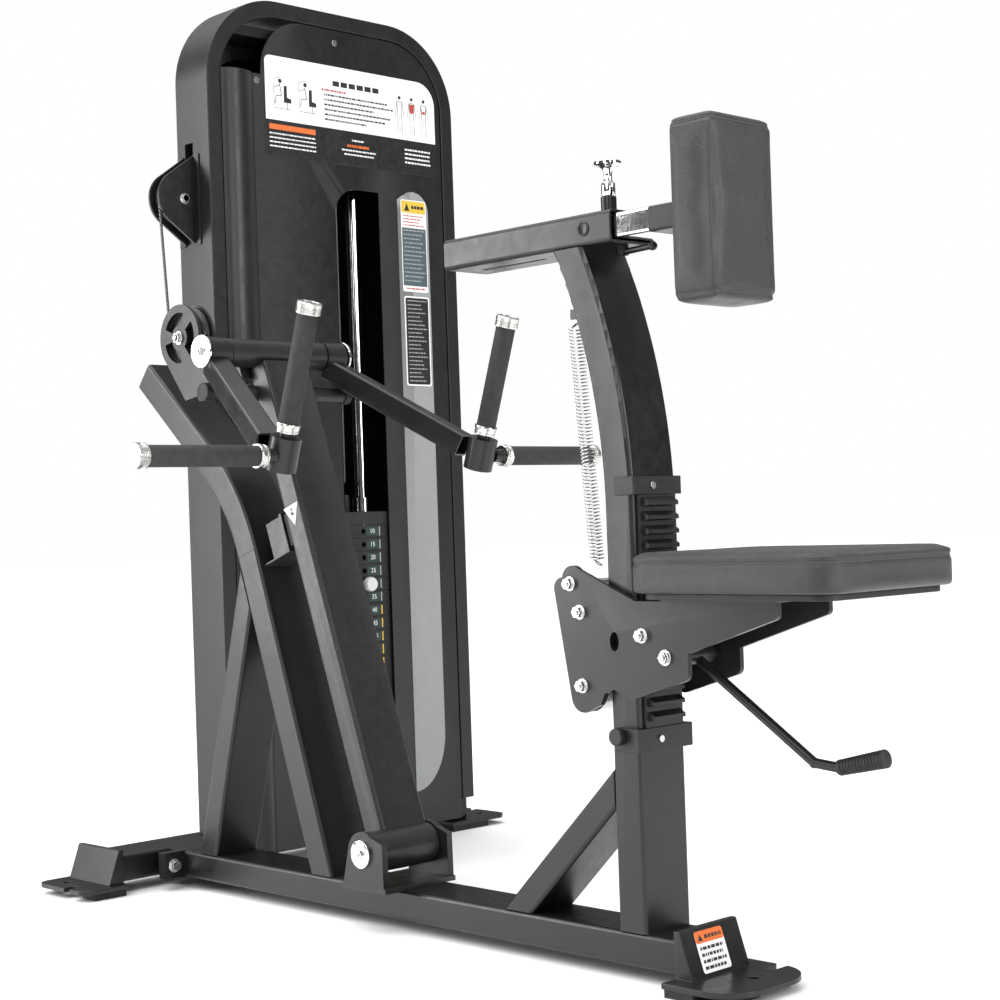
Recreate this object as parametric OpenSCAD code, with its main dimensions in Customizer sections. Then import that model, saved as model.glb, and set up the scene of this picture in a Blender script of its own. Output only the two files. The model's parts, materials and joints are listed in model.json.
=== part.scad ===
// Plate-loaded tower row machine: a pulling lever on a floor frame, a weight stack in a shrouded tower,
// a seat on a toothed rack and a chest pad on a sliding tube.
// +X runs from the tower to the seat, +Y to the tower side, +Z up; the floor is Z = 0.

/* [Floor frame] */
// Width of the main square-shouldered tubes
tube_w = 92; // [80:1:100]
// Height of the floor tubes
beam_h = 46; // [40:1:50]
// Height of the underside of the floor tubes
beam_z = 19.5; // [19.5:0.5:22]
// Wall of the main tubes
wall = 3; // [2:0.5:4]
// Front end of the main beam
beam_front = 109.5; // [100:1:120]
// Radius of an anchor bolt hole in a foot
anchor_r = 7; // [5:0.5:8]

/* [Tower] */
// Overall height
tower_h = 1617; // [1580:1:1640]
// Left side of the tower
tower_left = 73; // [70:1:76]
// Width of the tower
tower_w = 605; // [600:1:610]
// Radius of the tower's top corners
tower_r = 165; // [150:5:180]
// Width of the tower frame's band, seen from the front
band = 30; // [26:1:34]
// Distance between the weight plates' tops
plate_pitch = 25.7; // [25.4:0.1:26]
// Weight plates that stay down
lower_count = 15; // [10:1:15]
// Weight plates lifted with the top plate
lifted_count = 5; // [3:1:6]

/* [Lever] */
// How far the lever leans back at rest
lean = 19.3; // [19:0.1:20]
// Distance from the lever's hinge to the handle pivot
lever_len = 849; // [840:1:855]
// Radius of the hinge shaft
shaft_r = 20; // [18:0.5:21]
// Running clearance of a shaft in its bore
run_gap = 0.05; // [0.03:0.01:0.09]
// Radius of a rubber hand grip
grip_r = 16; // [15:0.5:18]

/* [Seat and pad] */
// Length of the seat cushion
seat_l = 328; // [310:1:340]
// Width of the seat cushion
seat_w = 284; // [270:1:290]
// Height of the chest pad
chest_h = 246; // [240:1:250]
// Width of the chest pad
chest_w = 134; // [130:1:140]
// Distance between two rack teeth
tooth_pitch = 19.3; // [19:0.1:20]

/* [Hidden] */
$fn = 48;
// the row's origin is at the middle of the footprint
x_mid = -385.5;
y_mid = 149.5;
half = tube_w / 2;
beam_top = beam_z + beam_h;
cross_x0 = -1180;
cross_x1 = -1079;
cross_left = -146;
cross_right = 680;
tower_x0 = -1155;
tower_x1 = -1054;
tower_right = tower_left + tower_w;
shroud_base = 27;
hinge_x = -493.4;
hinge_z = 122;
pivot_x = -12.8;
stack_x = -1118;
stack_y = 416;
rod_gap = 43;
stack_top = 652.3;
plate_t = 25;
plate_d = 108;
plate_w = 240;
pulley_r = 45;
side_y = 48;
side_z = 1234;
top_y = stack_y - pulley_r + 3;
top_z = 1500;
lever_pulley_x = -172;
lever_pulley_z = 950;
lever_pulley_y = -46;
lever_pulley_r = 54;
axle_r = 6;
cable_r = 2.5;
post_d = 51;
post_bend_z = 632;
post_bend_r = 857;
post_bend_a = 25.8;
sleeve_x0 = -305;
sleeve_x1 = 28;
sleeve_z0 = 1000;
sleeve_z1 = 1045;
rack_z0 = 342.2;
rack_z1 = 655.8;
plate_y = 50;
plate_thick = 8;
seat_x0 = 112;
seat_bottom = 528;
chest_x0 = 160;
chest_z = 1023;
release_x = 111;
release_z = 440;
release_r = 6;
release_end = [302, 0, 309];
spring_top = [-86, 0, 912];
spring_low = [-58, 0, 543];
spring_r = 10.5;
black = [0.07, 0.07, 0.075];
chrome = [0.8, 0.8, 0.82];
alu = [0.75, 0.75, 0.76];
rubber = [0.04, 0.04, 0.04];

// ---------- shared shapes ----------
module in_row() { translate([-x_mid, -y_mid, 0]) children(); }

// a rectangle with round corners, centred
module round_rect(a, b, r) {
    square([a - 2 * r, b], center = true);
    square([a, b - 2 * r], center = true);
    for (i = [-1, 1], j = [-1, 1]) translate([i * (a / 2 - r), j * (b / 2 - r)]) circle(r);
}
// the wall of a rectangular tube
module tube_section(a, b, t = wall, r = 6) {
    difference() {
        round_rect(a, b, r);
        round_rect(a - 2 * t, b - 2 * t, r - t + 0.01);
    }
}
// a box between two corners
module block(lo, hi) { translate(lo) cube(hi - lo); }
// a plate outline in the X-Z plane, from y0 to y1
module xz_plate(y0, y1) { translate([0, y1, 0]) rotate([90, 0, 0]) linear_extrude(y1 - y0) children(); }
// a round bar along Y
module y_bar(r, y0, y1) { translate([0, y0, 0]) rotate([-90, 0, 0]) cylinder(r = r, h = y1 - y0); }
// a round bar along X
module x_bar(r, x0, x1) { translate([x0, 0, 0]) rotate([0, 90, 0]) cylinder(r = r, h = x1 - x0); }
// a straight rod between two points
module rod(a, b, r) {
    v = b - a;
    translate(a) rotate([0, acos(v.z / norm(v)), atan2(v.y, v.x)]) cylinder(r = r, h = norm(v), $fn = 24);
}
// the lever's own frame: the hinge at its origin, Z along the arm
module on_lever() { translate([hinge_x, 0, hinge_z]) rotate([0, -lean, 0]) children(); }
// a bolt head along -Y with its washer
module bolt_y(x, y, z, s = 1) {
    translate([x, y, z]) {
        y_bar(8 * s, -1.5, 0);
        translate([0, -1.5, 0]) rotate([90, 0, 0]) cylinder(r = 6.5 * s, h = 6 * s, $fn = 6);
    }
}

// ---------- floor frame ----------
flange_y = 85;
module flange_outline() {
    difference() {
        square([2 * flange_y, beam_h], center = true);
        for (s = [-1, 1]) translate([s * 66, 0]) circle(7);
    }
}
module main_beam() {
    color(black) {
        translate([-1032, 0, beam_z + beam_h / 2]) rotate([0, 90, 0]) rotate(90)
            linear_extrude(1032 + beam_front)
            tube_section(tube_w, beam_h);
        translate([-1042, 0, beam_z + beam_h / 2]) rotate([0, 90, 0]) rotate(90) linear_extrude(10)
            flange_outline();
    }
}
module rear_crossbeam() {
    color(black) {
        translate([(cross_x0 + cross_x1) / 2, cross_right, beam_z + beam_h / 2]) rotate([90, 0, 0])
            linear_extrude(cross_right - cross_left) tube_section(cross_x1 - cross_x0, beam_h);
        block([cross_x1, -half, beam_z], [-1052, half, beam_top]);
        translate([-1052, 0, beam_z + beam_h / 2]) rotate([0, 90, 0]) rotate(90) linear_extrude(10)
            flange_outline();
    }
}
// a foot at the end of a tube: a sloping upright and a floor plate with an anchor hole and an end slot
foot_pad_t = 11.5;
foot_t = 8;
module foot_outline(len, w, r, hole, slot, turn) {
    difference() {
        union() {
            translate([0, -w / 2]) square([len - r, w]);
            translate([0, -w / 2 + r]) square([len, w - 2 * r]);
            for (s = [-1, 1]) translate([len - r, s * (w / 2 - r)]) circle(r);
        }
        translate(hole) circle(anchor_r);
        translate(slot) rotate(turn) {
            circle(9);
            translate([0, -9]) square([60, 18]);
        }
    }
}
module foot_plate() { translate([0, 0, foot_pad_t]) linear_extrude(foot_t) children(); }
// upright, leaning out from the tube's end
module foot_upright(up, top) {
    translate([0, up / 2, 0]) rotate([90, 0, 0]) linear_extrude(up)
        polygon([[0, foot_pad_t + foot_t], [30, foot_pad_t + foot_t], [9, top], [0, top]]);
}
module at_left() { translate([-1133, cross_left, 0]) rotate(-90) children(); }
module at_right() { translate([-1133, cross_right, 0]) rotate(90) children(); }
module at_front() { translate([beam_front, 0, 0]) children(); }
rear_l = 88;
rear_w = 156;
rear_hole = [54.6, -31.2];
rear_slot = [74, 21.8];
front_l = 121.5;
front_w = 176;
front_hole = [76.5, 8];
front_slot = [62.5, 62];
right_l = 91;
module left_foot() {
    color(black) at_left() {
        foot_plate() foot_outline(rear_l, rear_w, 22, rear_hole, rear_slot, 0);
        foot_upright(130, beam_top + 12);
    }
}
// the right plate runs flat under the tube's end
module right_foot() {
    color(black) at_right() foot_plate() {
        foot_outline(right_l, rear_w, 22, rear_hole, rear_slot, 0);
        translate([-60, -rear_w / 2]) square([61, rear_w]);
    }
}
module front_foot() {
    color(black) at_front() {
        foot_plate() foot_outline(front_l, front_w, 55, front_hole, front_slot, 90);
        foot_upright(120, beam_top + 16);
    }
}
// glued strips, clear of the bolt hole and the slot
module pad_strip(x0, x1, y0, y1) { translate([x0, y0]) square([x1 - x0, y1 - y0]); }
module foot_pads() {
    color(rubber) {
        at_left() linear_extrude(foot_pad_t) {
            pad_strip(2, 39.5, -75, 75);
            pad_strip(40, 64, 34, 74);
        }
        at_right() linear_extrude(foot_pad_t) {
            pad_strip(-58, 39.5, -75, 75);
            pad_strip(40, 64, 34, 74);
        }
        at_front() linear_extrude(foot_pad_t) {
            pad_strip(2, 51, -85, 85);
            pad_strip(51.5, 98, -62, -7);
        }
    }
}

// ---------- leaning column behind the lever ----------
col_t = 54;
col_a = 18.4;
col_bend = 30.6;
col_r = 365;
col_base_x = -645.7;
col_low = 548;
col_high = 245;
// angle left open at each end of the bend, where it meets a straight stretch
weld_gap = 0.03;
// the column's three stretches: a straight foot, a bend and a straight head
module column_foot() {
    translate([col_base_x, 0, beam_top]) rotate([0, -col_a, 0])
        translate([0, 0, -20]) linear_extrude(col_low + 20) tube_section(col_t, tube_w);
}
module column_bend() {
    translate([col_base_x, 0, beam_top]) rotate([0, -col_a, 0]) translate([-col_r, 0, col_low])
        rotate([90, 0, 0]) rotate([0, 0, weld_gap]) rotate_extrude(angle = col_bend - 2 * weld_gap, $fn = 96)
            translate([col_r, 0]) tube_section(col_t, tube_w);
}
module column_head() {
    translate([col_base_x, 0, beam_top]) rotate([0, -col_a, 0]) translate([-col_r, 0, col_low])
        rotate([0, -col_bend, 0]) translate([col_r, 0, 0]) linear_extrude(col_high) tube_section(col_t,
            tube_w);
}
module above_beam() { block([-1600, -200, beam_top], [400, 200, 1300]); }
module rear_column() {
    color(black) {
        intersection() {
            column_foot();
            above_beam();
        }
        column_bend();
        column_head();
    }
    // plate that ties the column's top to the tower
    color(black) block([-1110, half + 0.2, 840], [-1062, tower_left, 880]);
}
leg_a = 16;
module leg_path() { translate([-960, 0, beam_top]) rotate([0, leg_a, 0]) translate([0, 0, -30])
    linear_extrude(560) children(); }
module rear_leg() {
    color(black) difference() {
        intersection() { leg_path() tube_section(46, tube_w - 2); above_beam(); }
        translate([col_base_x, 0, beam_top]) rotate([0, -col_a, 0]) block([-col_t / 2, -80, -60], [300, 80,
            900]);
    }
}

// ---------- seat post ----------
module seat_post() {
    color(black) {
        translate([post_d / 2, 0, beam_top]) linear_extrude(post_bend_z - beam_top) tube_section(post_d,
            tube_w);
        // curved head, cut level under the sleeve
        intersection() {
            translate([-post_bend_r, 0, post_bend_z]) rotate([90, 0, 0])
                rotate_extrude(angle = post_bend_a, $fn = 180)
                translate([post_bend_r + post_d / 2, 0]) tube_section(post_d, tube_w);
            block([-300, -100, 500], [200, 100, sleeve_z0]);
        }
    }
    // hook plate for the spring
    color(black) block([-92, -3, 908], [-28, 3, 922]);
}
module post_brace() {
    color(black) difference() {
        translate([-198, 0, beam_top]) rotate([0, 45.9, 0]) translate([0, 0, -60]) linear_extrude(420)
            tube_section(40, tube_w - 2);
        block([-500, -200, -200], [200, 200, beam_top]);
        block([0, -200, -200], [400, 200, 800]);
    }
}
slot_w = 8;
// locking pin: its place along the sleeve, its boss and its running fit
pin_x = -14;
boss_h = 26;
lock_r = 6;
module pad_sleeve() {
    color(black) {
        difference() {
            translate([sleeve_x0, 0, (sleeve_z0 + sleeve_z1) / 2]) rotate([0, 90, 0])
                linear_extrude(sleeve_x1 - sleeve_x0) tube_section(sleeve_z1 - sleeve_z0, tube_w, 4, 7);
            block([-270, -slot_w / 2, sleeve_z0 - 5], [-140, slot_w / 2, sleeve_z0 + 8]);
            translate([pin_x, 0, sleeve_z1 - 10]) cylinder(r = lock_r + run_gap, h = 20);
        }
        // boss for the locking pin
        translate([pin_x, 0, sleeve_z1]) difference() {
            cylinder(r = 11, h = boss_h);
            translate([0, 0, -1]) cylinder(r = lock_r + run_gap, h = boss_h + 2);
        }
    }
}
clevis_in = 74;
clevis_out = 85;
// the far side plate stands close to the arm
far_in = 49;
far_out = 60;
module pivot_clevis() {
    color(black) {
        block([-545, -clevis_out, beam_top], [-441, far_out, beam_top + 8]);
        for (y = [-clevis_out, far_in]) translate([0, y, 0])
            xz_plate(0, clevis_out - clevis_in) difference() {
                union() {
                    translate([hinge_x, hinge_z]) circle(34);
                    polygon([[-541, beam_top + 8], [-445, beam_top + 8], [-446, hinge_z + 18],
                        [-470, hinge_z + 26], [hinge_x - 33, hinge_z + 8]]);
                }
                translate([hinge_x, hinge_z]) circle(shaft_r);
            }
    }
}
module pivot_shaft() {
    color(chrome) translate([hinge_x, 0, hinge_z]) {
        y_bar(shaft_r, -clevis_out, far_out);
        for (e = [[-1, clevis_out], [1, far_out]]) scale([1, e.x, 1]) {
            y_bar(21.6, e.y, e.y + 5);
            translate([0, e.y + 5, 0]) rotate([-90, 0, 0]) cylinder(r = 9, h = 5, $fn = 6);
        }
    }
}
module stop_bracket() {
    color(black) on_lever() {
        block([-130, -36, 512], [-53, 36, 516]);
        block([-60, -36, 516], [-53, 36, 580]);
        for (s = [-1, 1]) block([-98, s * 33 - 3, 516], [-60, s * 33 + 3, 576]);
    }
}
module stop_bumper() { color(rubber) on_lever() block([-53, -32, 520], [-31.4, 32, 576]); }

// ---------- tower ----------
// arch outline in the Y-Z plane: width w, height h, corner radius r, standing at (0, 0)
module arch(w, h, r) {
    square([w, h - r]);
    translate([r, 0]) square([w - 2 * r, h]);
    for (x = [r, w - r]) translate([x, h - r]) circle(r, $fn = 96);
}
// extrudes an outline drawn as (Y, Z) from x0 to x1
module yz_plate(x0, x1) { translate([x0, 0, 0]) rotate([90, 0, 90]) linear_extrude(x1 - x0) children(); }
module tower_inside() {
    translate([tower_left + band, beam_top - 1]) arch(tower_w - 2 * band, tower_h - beam_top - band + 1,
        tower_r - band);
}
module tower_frame() {
    color(black) difference() {
        yz_plate(tower_x0, tower_x1) difference() {
            translate([tower_left, beam_top]) arch(tower_w, tower_h - beam_top, tower_r);
            tower_inside();
        }
        // slot for the side pulley and its cable
        block([stack_x - 12, tower_left - 1, side_z - 46], [stack_x + 12, tower_left + band + 1,
            side_z + 106]);
    }
}
panel_x0 = tower_x1 - 4;
panel_x1 = tower_x1 - 2;
roll_top = 1475;
roll_r = 36;
slot_y0 = 364;
slot_y1 = 477;
slot_z0 = 140;
slot_z1 = 1280;
edge_gap = 2.5;
// the panel's upper left corner is cut back to here, under a round shoulder
notch_y = 197.5;
notch_r = 100;
module shroud_outline() {
    difference() {
        intersection() {
            translate([tower_left + band + edge_gap, shroud_base])
                arch(tower_w - 2 * (band + edge_gap), tower_h - band - edge_gap - shroud_base,
                    tower_r - band - edge_gap);
            union() {
                translate([tower_left, shroud_base]) square([tower_w, roll_top - shroud_base]);
                translate([notch_y, roll_top - 200]) arch(2 * tower_w,
                    tower_h - band - edge_gap - roll_top + 200, notch_r);
            }
        }
        translate([slot_y0, slot_z0]) square([slot_y1 - slot_y0, slot_z1 - slot_z0 - 56]);
        translate([slot_y0 + 56, slot_z0]) square([slot_y1 - slot_y0 - 56, slot_z1 - slot_z0]);
        translate([slot_y0 + 56, slot_z1 - 56]) circle(56);
    }
}
module front_shroud() {
    color([0.13, 0.13, 0.135]) {
        yz_plate(panel_x0, panel_x1) shroud_outline();
        // rolled left edge
        translate([panel_x1 - 0.01, tower_left + band + edge_gap + roll_r, shroud_base])
            linear_extrude(roll_top - shroud_base) roll_section();
    }
}
// a bulging sheet edge
roll_d = 14;
roll_arc = (roll_r * roll_r + roll_d * roll_d) / (2 * roll_d);
module roll_section() {
    intersection() {
        translate([roll_d - roll_arc, 0]) difference() {
            circle(roll_arc, $fn = 96);
            circle(roll_arc - 2, $fn = 96);
        }
        translate([0, -roll_r]) square([roll_d + 1, 2 * roll_r]);
    }
}
rear_d = 50;
// how far the rear cover's deep part stands in from the tower's sides
rear_in = 62;
module cover_arch(inset) {
    translate([tower_left + inset, beam_top + 2]) arch(tower_w - 2 * inset, tower_h - beam_top - 28 - inset,
        tower_r - inset);
}
module rear_shroud() {
    color([0.11, 0.11, 0.115]) {
        yz_plate(tower_x0 - 2.5, tower_x0) difference() {
            cover_arch(12);
            cover_arch(rear_in + 2.5);
        }
        difference() {
            yz_plate(tower_x0 - rear_d, tower_x0 - 2) cover_arch(rear_in);
            yz_plate(tower_x0 - rear_d + 2.5, tower_x0 + 1) cover_arch(rear_in + 2.5);
        }
    }
}
strip_y0 = 524;
strip_y1 = 605;
sheet_t = 1.5;
module side_strip() {
    color([0.62, 0.63, 0.64]) yz_plate(panel_x1, panel_x1 + sheet_t) {
        w = strip_y1 - strip_y0;
        translate([strip_y0, 206]) square([w, 1044]);
        // one long round at its foot
        translate([strip_y0, 206]) intersection() {
            scale([1, 1.38]) circle(w);
            translate([0, -120]) square([w, 121]);
        }
        // head: slopes up from the left, then rounds over
        polygon([[strip_y0, 1240], [strip_y0, 1272], [strip_y0 + 14, 1281], [strip_y0 + 28, 1287],
            [strip_y0 + 41, 1290], [strip_y0 + 41, 1240]]);
        translate([strip_y1 - 40, 1250]) circle(40);
    }
}
placard_y0 = 203;
placard_y1 = 633;
placard_z0 = 1325;
placard_z1 = 1516;
// upper corners: small on the left, large on the right
placard_r = [14, 48];
module placard() {
    y_l = placard_y0 + placard_r[0];
    y_r = placard_y1 - placard_r[1];
    color([0.85, 0.86, 0.87]) yz_plate(panel_x1, panel_x1 + sheet_t) {
        translate([placard_y0, placard_z0]) square([placard_y1 - placard_y0,
            placard_z1 - placard_z0 - placard_r[1]]);
        translate([placard_y0, placard_z0]) square([y_r - placard_y0, placard_z1 - placard_z0 - placard_r[0]]);
        translate([y_l, placard_z0]) square([y_r - y_l, placard_z1 - placard_z0]);
        translate([y_l, placard_z1 - placard_r[0]]) circle(placard_r[0]);
        translate([y_r, placard_z1 - placard_r[1]]) circle(placard_r[1], $fn = 96);
    }
}
guide_r = 12.5;
rod_top = 1440;
hanger_t = 8;
module guide_rods() {
    color(chrome) for (s = [-1, 1]) translate([stack_x, stack_y + s * rod_gap, beam_top + 8])
        cylinder(r = guide_r, h = rod_top - beam_top - 8);
    color(black) block([stack_x - 48, stack_y - 80, beam_top], [stack_x + 46, stack_y + 80, beam_top + 8]);
}
pin_r = 4.5;
pin_level = lifted_count;
module stack_plate(top, r_rod = guide_r + 0.7, stem = 14) {
    translate([stack_x, stack_y, top - plate_t]) difference() {
        block([-plate_d / 2, -plate_w / 2, 0], [plate_d / 2, plate_w / 2, plate_t]);
        for (s = [-1, 1]) translate([0, s * rod_gap, -1]) cylinder(r = r_rod, h = plate_t + 2);
        translate([0, 0, -1]) cylinder(r = stem, h = plate_t + 2);
        translate([0, 0, plate_t / 2]) x_bar(pin_r + 0.5, 0, plate_d);
    }
}
lower_top = stack_top - (lifted_count + 1) * plate_pitch;
module lower_plates() {
    color([0.1, 0.1, 0.1]) for (i = [0 : lower_count - 1]) stack_plate(lower_top - i * plate_pitch);
}
module lifted_plates() {
    color([0.1, 0.1, 0.1]) for (i = [1 : lifted_count]) stack_plate(stack_top - i * plate_pitch);
}
module stack_cushions() {
    z0 = beam_top + 8;
    z1 = lower_top - (lower_count - 1) * plate_pitch - plate_t;
    color(rubber) for (s = [-1, 1]) translate([stack_x, stack_y + s * rod_gap, z0]) difference() {
        cylinder(r = 24, h = z1 - z0);
        translate([0, 0, -1]) cylinder(r = guide_r + 0.5, h = z1 - z0 + 2);
    }
}
stem_r = 12;
module top_plate() {
    color([0.1, 0.1, 0.1]) difference() {
        translate([stack_x, stack_y, stack_top - plate_t])
            block([-plate_d / 2, -plate_w / 2, 0], [plate_d / 2, plate_w / 2, plate_t]);
        for (s = [-1, 1]) translate([stack_x, stack_y + s * rod_gap, stack_top - 60])
            cylinder(r = guide_r + 0.7, h = 90);
    }
    // bushes round the rods
    color(chrome) for (s = [-1, 1]) translate([stack_x, stack_y + s * rod_gap, stack_top]) difference() {
        cylinder(r = 19, h = 28);
        translate([0, 0, -1]) cylinder(r = guide_r + 0.1, h = 30);
    }
    // lifting stem with a hole at each plate, and the cable eye
    color(chrome) difference() {
        translate([stack_x, stack_y, stack_top - (lifted_count + 5) * plate_pitch])
            cylinder(r = stem_r, h = (lifted_count + 5) * plate_pitch - plate_t);
        for (i = [1 : lifted_count + 4])
            translate([stack_x, stack_y, stack_top - i * plate_pitch - plate_t / 2]) x_bar(pin_r + 0.5,
                -20, 20);
    }
    color(chrome) translate([stack_x, stack_y, stack_top]) cylinder(r = 9, h = 34);
}
module selector_pin() {
    z = stack_top - pin_level * plate_pitch - plate_t / 2;
    color([0.9, 0.9, 0.88]) translate([stack_x, stack_y, z]) {
        x_bar(pin_r, -9, plate_d / 2 + 6);
        x_bar(14, plate_d / 2 + 4, plate_d / 2 + 24);
    }
}
module top_beam() {
    color(black) {
        intersection() {
            block([stack_x - 38, tower_left, top_z + 50], [stack_x + 38, tower_right, top_z + 70]);
            yz_plate(tower_x0, tower_x1) tower_inside();
        }
        for (s = [-1, 1]) difference() {
            block([stack_x + s * 15 - 2.5, top_y - 26, top_z - 16], [stack_x + s * 15 + 2.5, top_y + 26,
                top_z + 50]);
            translate([stack_x, top_y, top_z]) x_bar(axle_r, -30, 30);
        }
        translate([stack_x, top_y, top_z]) x_bar(axle_r, -21, 21);
        // hanger that holds the guide rods' tops, with a hole for the cable
        difference() {
            block([stack_x - 46, stack_y - 80, rod_top], [stack_x + 46, stack_y + 80, rod_top + hanger_t]);
            translate([stack_x, top_y + groove_r, rod_top - 1]) cylinder(r = 9, h = hanger_t + 2);
        }
        for (s = [-1, 1]) translate([stack_x + s * 32, stack_y, 0])
            block([-4, -80, rod_top + hanger_t], [4, 80, top_z + 70]);
    }
}
module pulley_section(r, w) {
    // half section: hub, web, grooved rim
    difference() {
        union() {
            translate([axle_r + run_gap, -w / 2]) square([10, w]);
            translate([axle_r + 6, -w / 4]) square([r - axle_r - 8, w / 2]);
            translate([r - 11, -w / 2]) square([11, w]);
        }
        translate([r + 3, 0]) circle(7.5, $fn = 24);
    }
}
module pulley(r, w) { rotate_extrude($fn = 64) pulley_section(r, w); }
module side_pulley() { color(rubber) translate([stack_x, side_y, side_z]) rotate([0, 90, 0])
    pulley(pulley_r, 17); }
module top_pulley() { color(rubber) translate([stack_x, top_y, top_z]) rotate([0, 90, 0]) pulley(pulley_r,
    17); }
module lever_pulley() {
    color(rubber) on_lever() translate([lever_pulley_x, lever_pulley_y, lever_pulley_z]) rotate([90, 0, 0])
        pulley(lever_pulley_r, 20);
}
module side_bracket() {
    color(black) {
        for (s = [-1, 1]) translate([stack_x + s * 14.5, 0, 0]) yz_plate(-2.5, 2.5) difference() {
            union() {
                translate([side_y - 4, side_z]) circle(pulley_r + 6);
                polygon([[side_y - 34, side_z - 41], [tower_left, side_z - 83], [tower_left, side_z + 83],
                    [side_y - 34, side_z + 41]]);
            }
            translate([side_y, side_z]) circle(axle_r);
            translate([tower_left - 3, side_z - 90]) square([100, 180]);
        }
        for (s = [-1, 1]) block([stack_x + s * 24.5 - 8, tower_left - 3, side_z - 83],
            [stack_x + s * 24.5 + 8, tower_left, side_z + 83]);
    }
    color(chrome) translate([stack_x, side_y, side_z]) x_bar(axle_r, -22, 24);
}

// ---------- rack ----------
module gear_rack() {
    color([0.08, 0.08, 0.08]) {
        block([post_d, -38, rack_z0], [post_d + 5, 38, rack_z1]);
        for (z = [rack_z0 + 8 : tooth_pitch : rack_z1 - 16]) translate([post_d + 5, 32, z]) rotate([90, 0, 0])
            linear_extrude(64) polygon([[0, 0], [10, 2], [10, 7], [0, 13]]);
    }
}
// a band round the post that holds the rack's end
module rack_clamp(x0, x1, y, z0, z1) {
    difference() {
        block([x0, -y, z0], [x1, y, z1]);
        block([0, -half - 0.1, z0 - 1], [post_d + 0.1, half + 0.1, z1 + 1]);
    }
}
clamp_front = post_d + 6;
module rack_clamps() {
    color(rubber) {
        rack_clamp(22, clamp_front, 49.7, 656, 681);
        rack_clamp(14, clamp_front, 56, 310, 342);
    }
}
module frame_bolts() {
    color(chrome) {
        // flange bolts
        for (s = [-1, 1]) translate([-1032, s * 66, beam_z + beam_h / 2]) {
            x_bar(7, -24, 0);
            x_bar(12, 0, 2);
            translate([2, 0, 0]) rotate([0, 90, 0]) cylinder(r = 10, h = 7, $fn = 6);
        }
        // clamp screws
        for (z = [668.5, 326]) translate([clamp_front, -11, z]) x_bar(5, 0, 3);
        // shroud screws
        for (p = [[186, 1462], [375, 1560]]) translate([panel_x1, p.x, p.y]) x_bar(6, 0, 3);
    }
}

// ---------- steel cable ----------
tan_a = atan2(top_z - side_z, top_y - side_y);
// the cable's centre line stands this far out in a groove
floor_gap = 1.7;
groove_r = pulley_r - floor_gap;
function yz_at(cy, cz, a) = [stack_x, cy + groove_r * cos(a), cz + groove_r * sin(a)];
module cable_arc(cy, cz, a0, a1) {
    translate([stack_x, cy, cz]) rotate([90, 0, 90]) rotate([0, 0, a0]) rotate_extrude(angle = a1 - a0,
        $fn = 64)
        translate([groove_r, 0]) circle(cable_r, $fn = 16);
}
module cable_run() {
    color(chrome) {
        cable_arc(top_y, top_z, 0, 90 + tan_a - 0.1);
        rod(yz_at(top_y, top_z, 90 + tan_a), yz_at(side_y, side_z, 90 + tan_a), cable_r);
        cable_arc(side_y, side_z, 90 + tan_a + 0.1, 180);
    }
}
module cable_stack() {
    color(chrome) translate([stack_x, top_y + groove_r, stack_top + 34]) cylinder(r = cable_r,
        h = top_z - stack_top - 34.2);
}
// the run from the side pulley down to the lever's pulley
cable_low = [-1018.9, lever_pulley_y, 943.4];
module cable_lever() {
    color(chrome) rod([stack_x, side_y - groove_r, side_z - 1.5], cable_low, cable_r);
}

// ---------- lever ----------
hub_half = 72;
// crossbar with rubber ends, behind the arm
stop_at = [-29, 0, 784];
stop_half = 138;
pivot_r = 15;
module lever_arm() {
    color(black) on_lever() {
        difference() {
            translate([-8, 0, 20]) linear_extrude(lever_len - 44) tube_section(46, tube_w);
            y_bar(32, -100, 100);
            translate([pivot_x, 0, lever_len]) y_bar(24, -100, 100);
            translate(stop_at) y_bar(13, -100, 100);
        }
    }
}
module lever_hub() {
    color(black) on_lever() difference() {
        y_bar(32, -hub_half, half + 1);
        y_bar(shaft_r + run_gap, -hub_half - 1, hub_half + 1);
    }
    color(black) on_lever() translate([pivot_x, 0, lever_len]) difference() {
        y_bar(24, -98, 98);
        y_bar(pivot_r + run_gap, -99, 99);
    }
}
module yoke_outline(windows = true) {
    difference() {
        union() {
            translate([lever_pulley_x, lever_pulley_z]) circle(58);
            polygon([[-196, 842], [-40, 812], [pivot_x - 26, lever_len - 8], [pivot_x - 24, lever_len + 18],
                [-118, 930], [-172, 950], [-228, 935]]);
        }
        translate([lever_pulley_x, lever_pulley_z]) circle(axle_r);
        if (windows) for (a = [95, 215, 335]) translate([lever_pulley_x, lever_pulley_z]) intersection() {
            difference() { circle(44); circle(22); }
            polygon([[0, 0], 90 * [cos(a - 42), sin(a - 42)], 90 * [cos(a), sin(a)], 90 * [cos(a + 42),
                sin(a + 42)]]);
        }
    }
}
module pulley_yoke() {
    color(black) on_lever() {
        xz_plate(-63, -58) yoke_outline();
        xz_plate(-34, -29) yoke_outline(false);
        // spacer that carries both plates on the arm
        block([-110, -58, 826], [-40, -34, 838]);
        block([-44, -63, 812], [-31.2, -29, 860]);
    }
    color(chrome) on_lever() translate([lever_pulley_x, 0, lever_pulley_z]) y_bar(axle_r, -72, -26);
}
module stop_tube() { color(black) on_lever() translate(stop_at) y_bar(13, -stop_half, stop_half); }
module stop_rubbers() {
    color(rubber) on_lever() translate(stop_at) for (s = [-1, 1]) scale([1, s, 1]) y_bar(15, stop_half,
        stop_half + 14);
}

// ---------- handles ----------
arm_root = [0, 120, -21];
arm_dir = [245, 83, -144];
arm_len = norm(arm_dir);
arm_s = 38;
joint_at = [283.3, 204, -180.4];
grip_lean = 19;
// ends of the rubber on the upright grips, above the joint, and on the sideways ones, from the middle
up_grip = [48, 214];
side_grip = [260, 453];
bar_r = 11;
collar_r = 18.5;
cap_r = 19;
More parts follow.
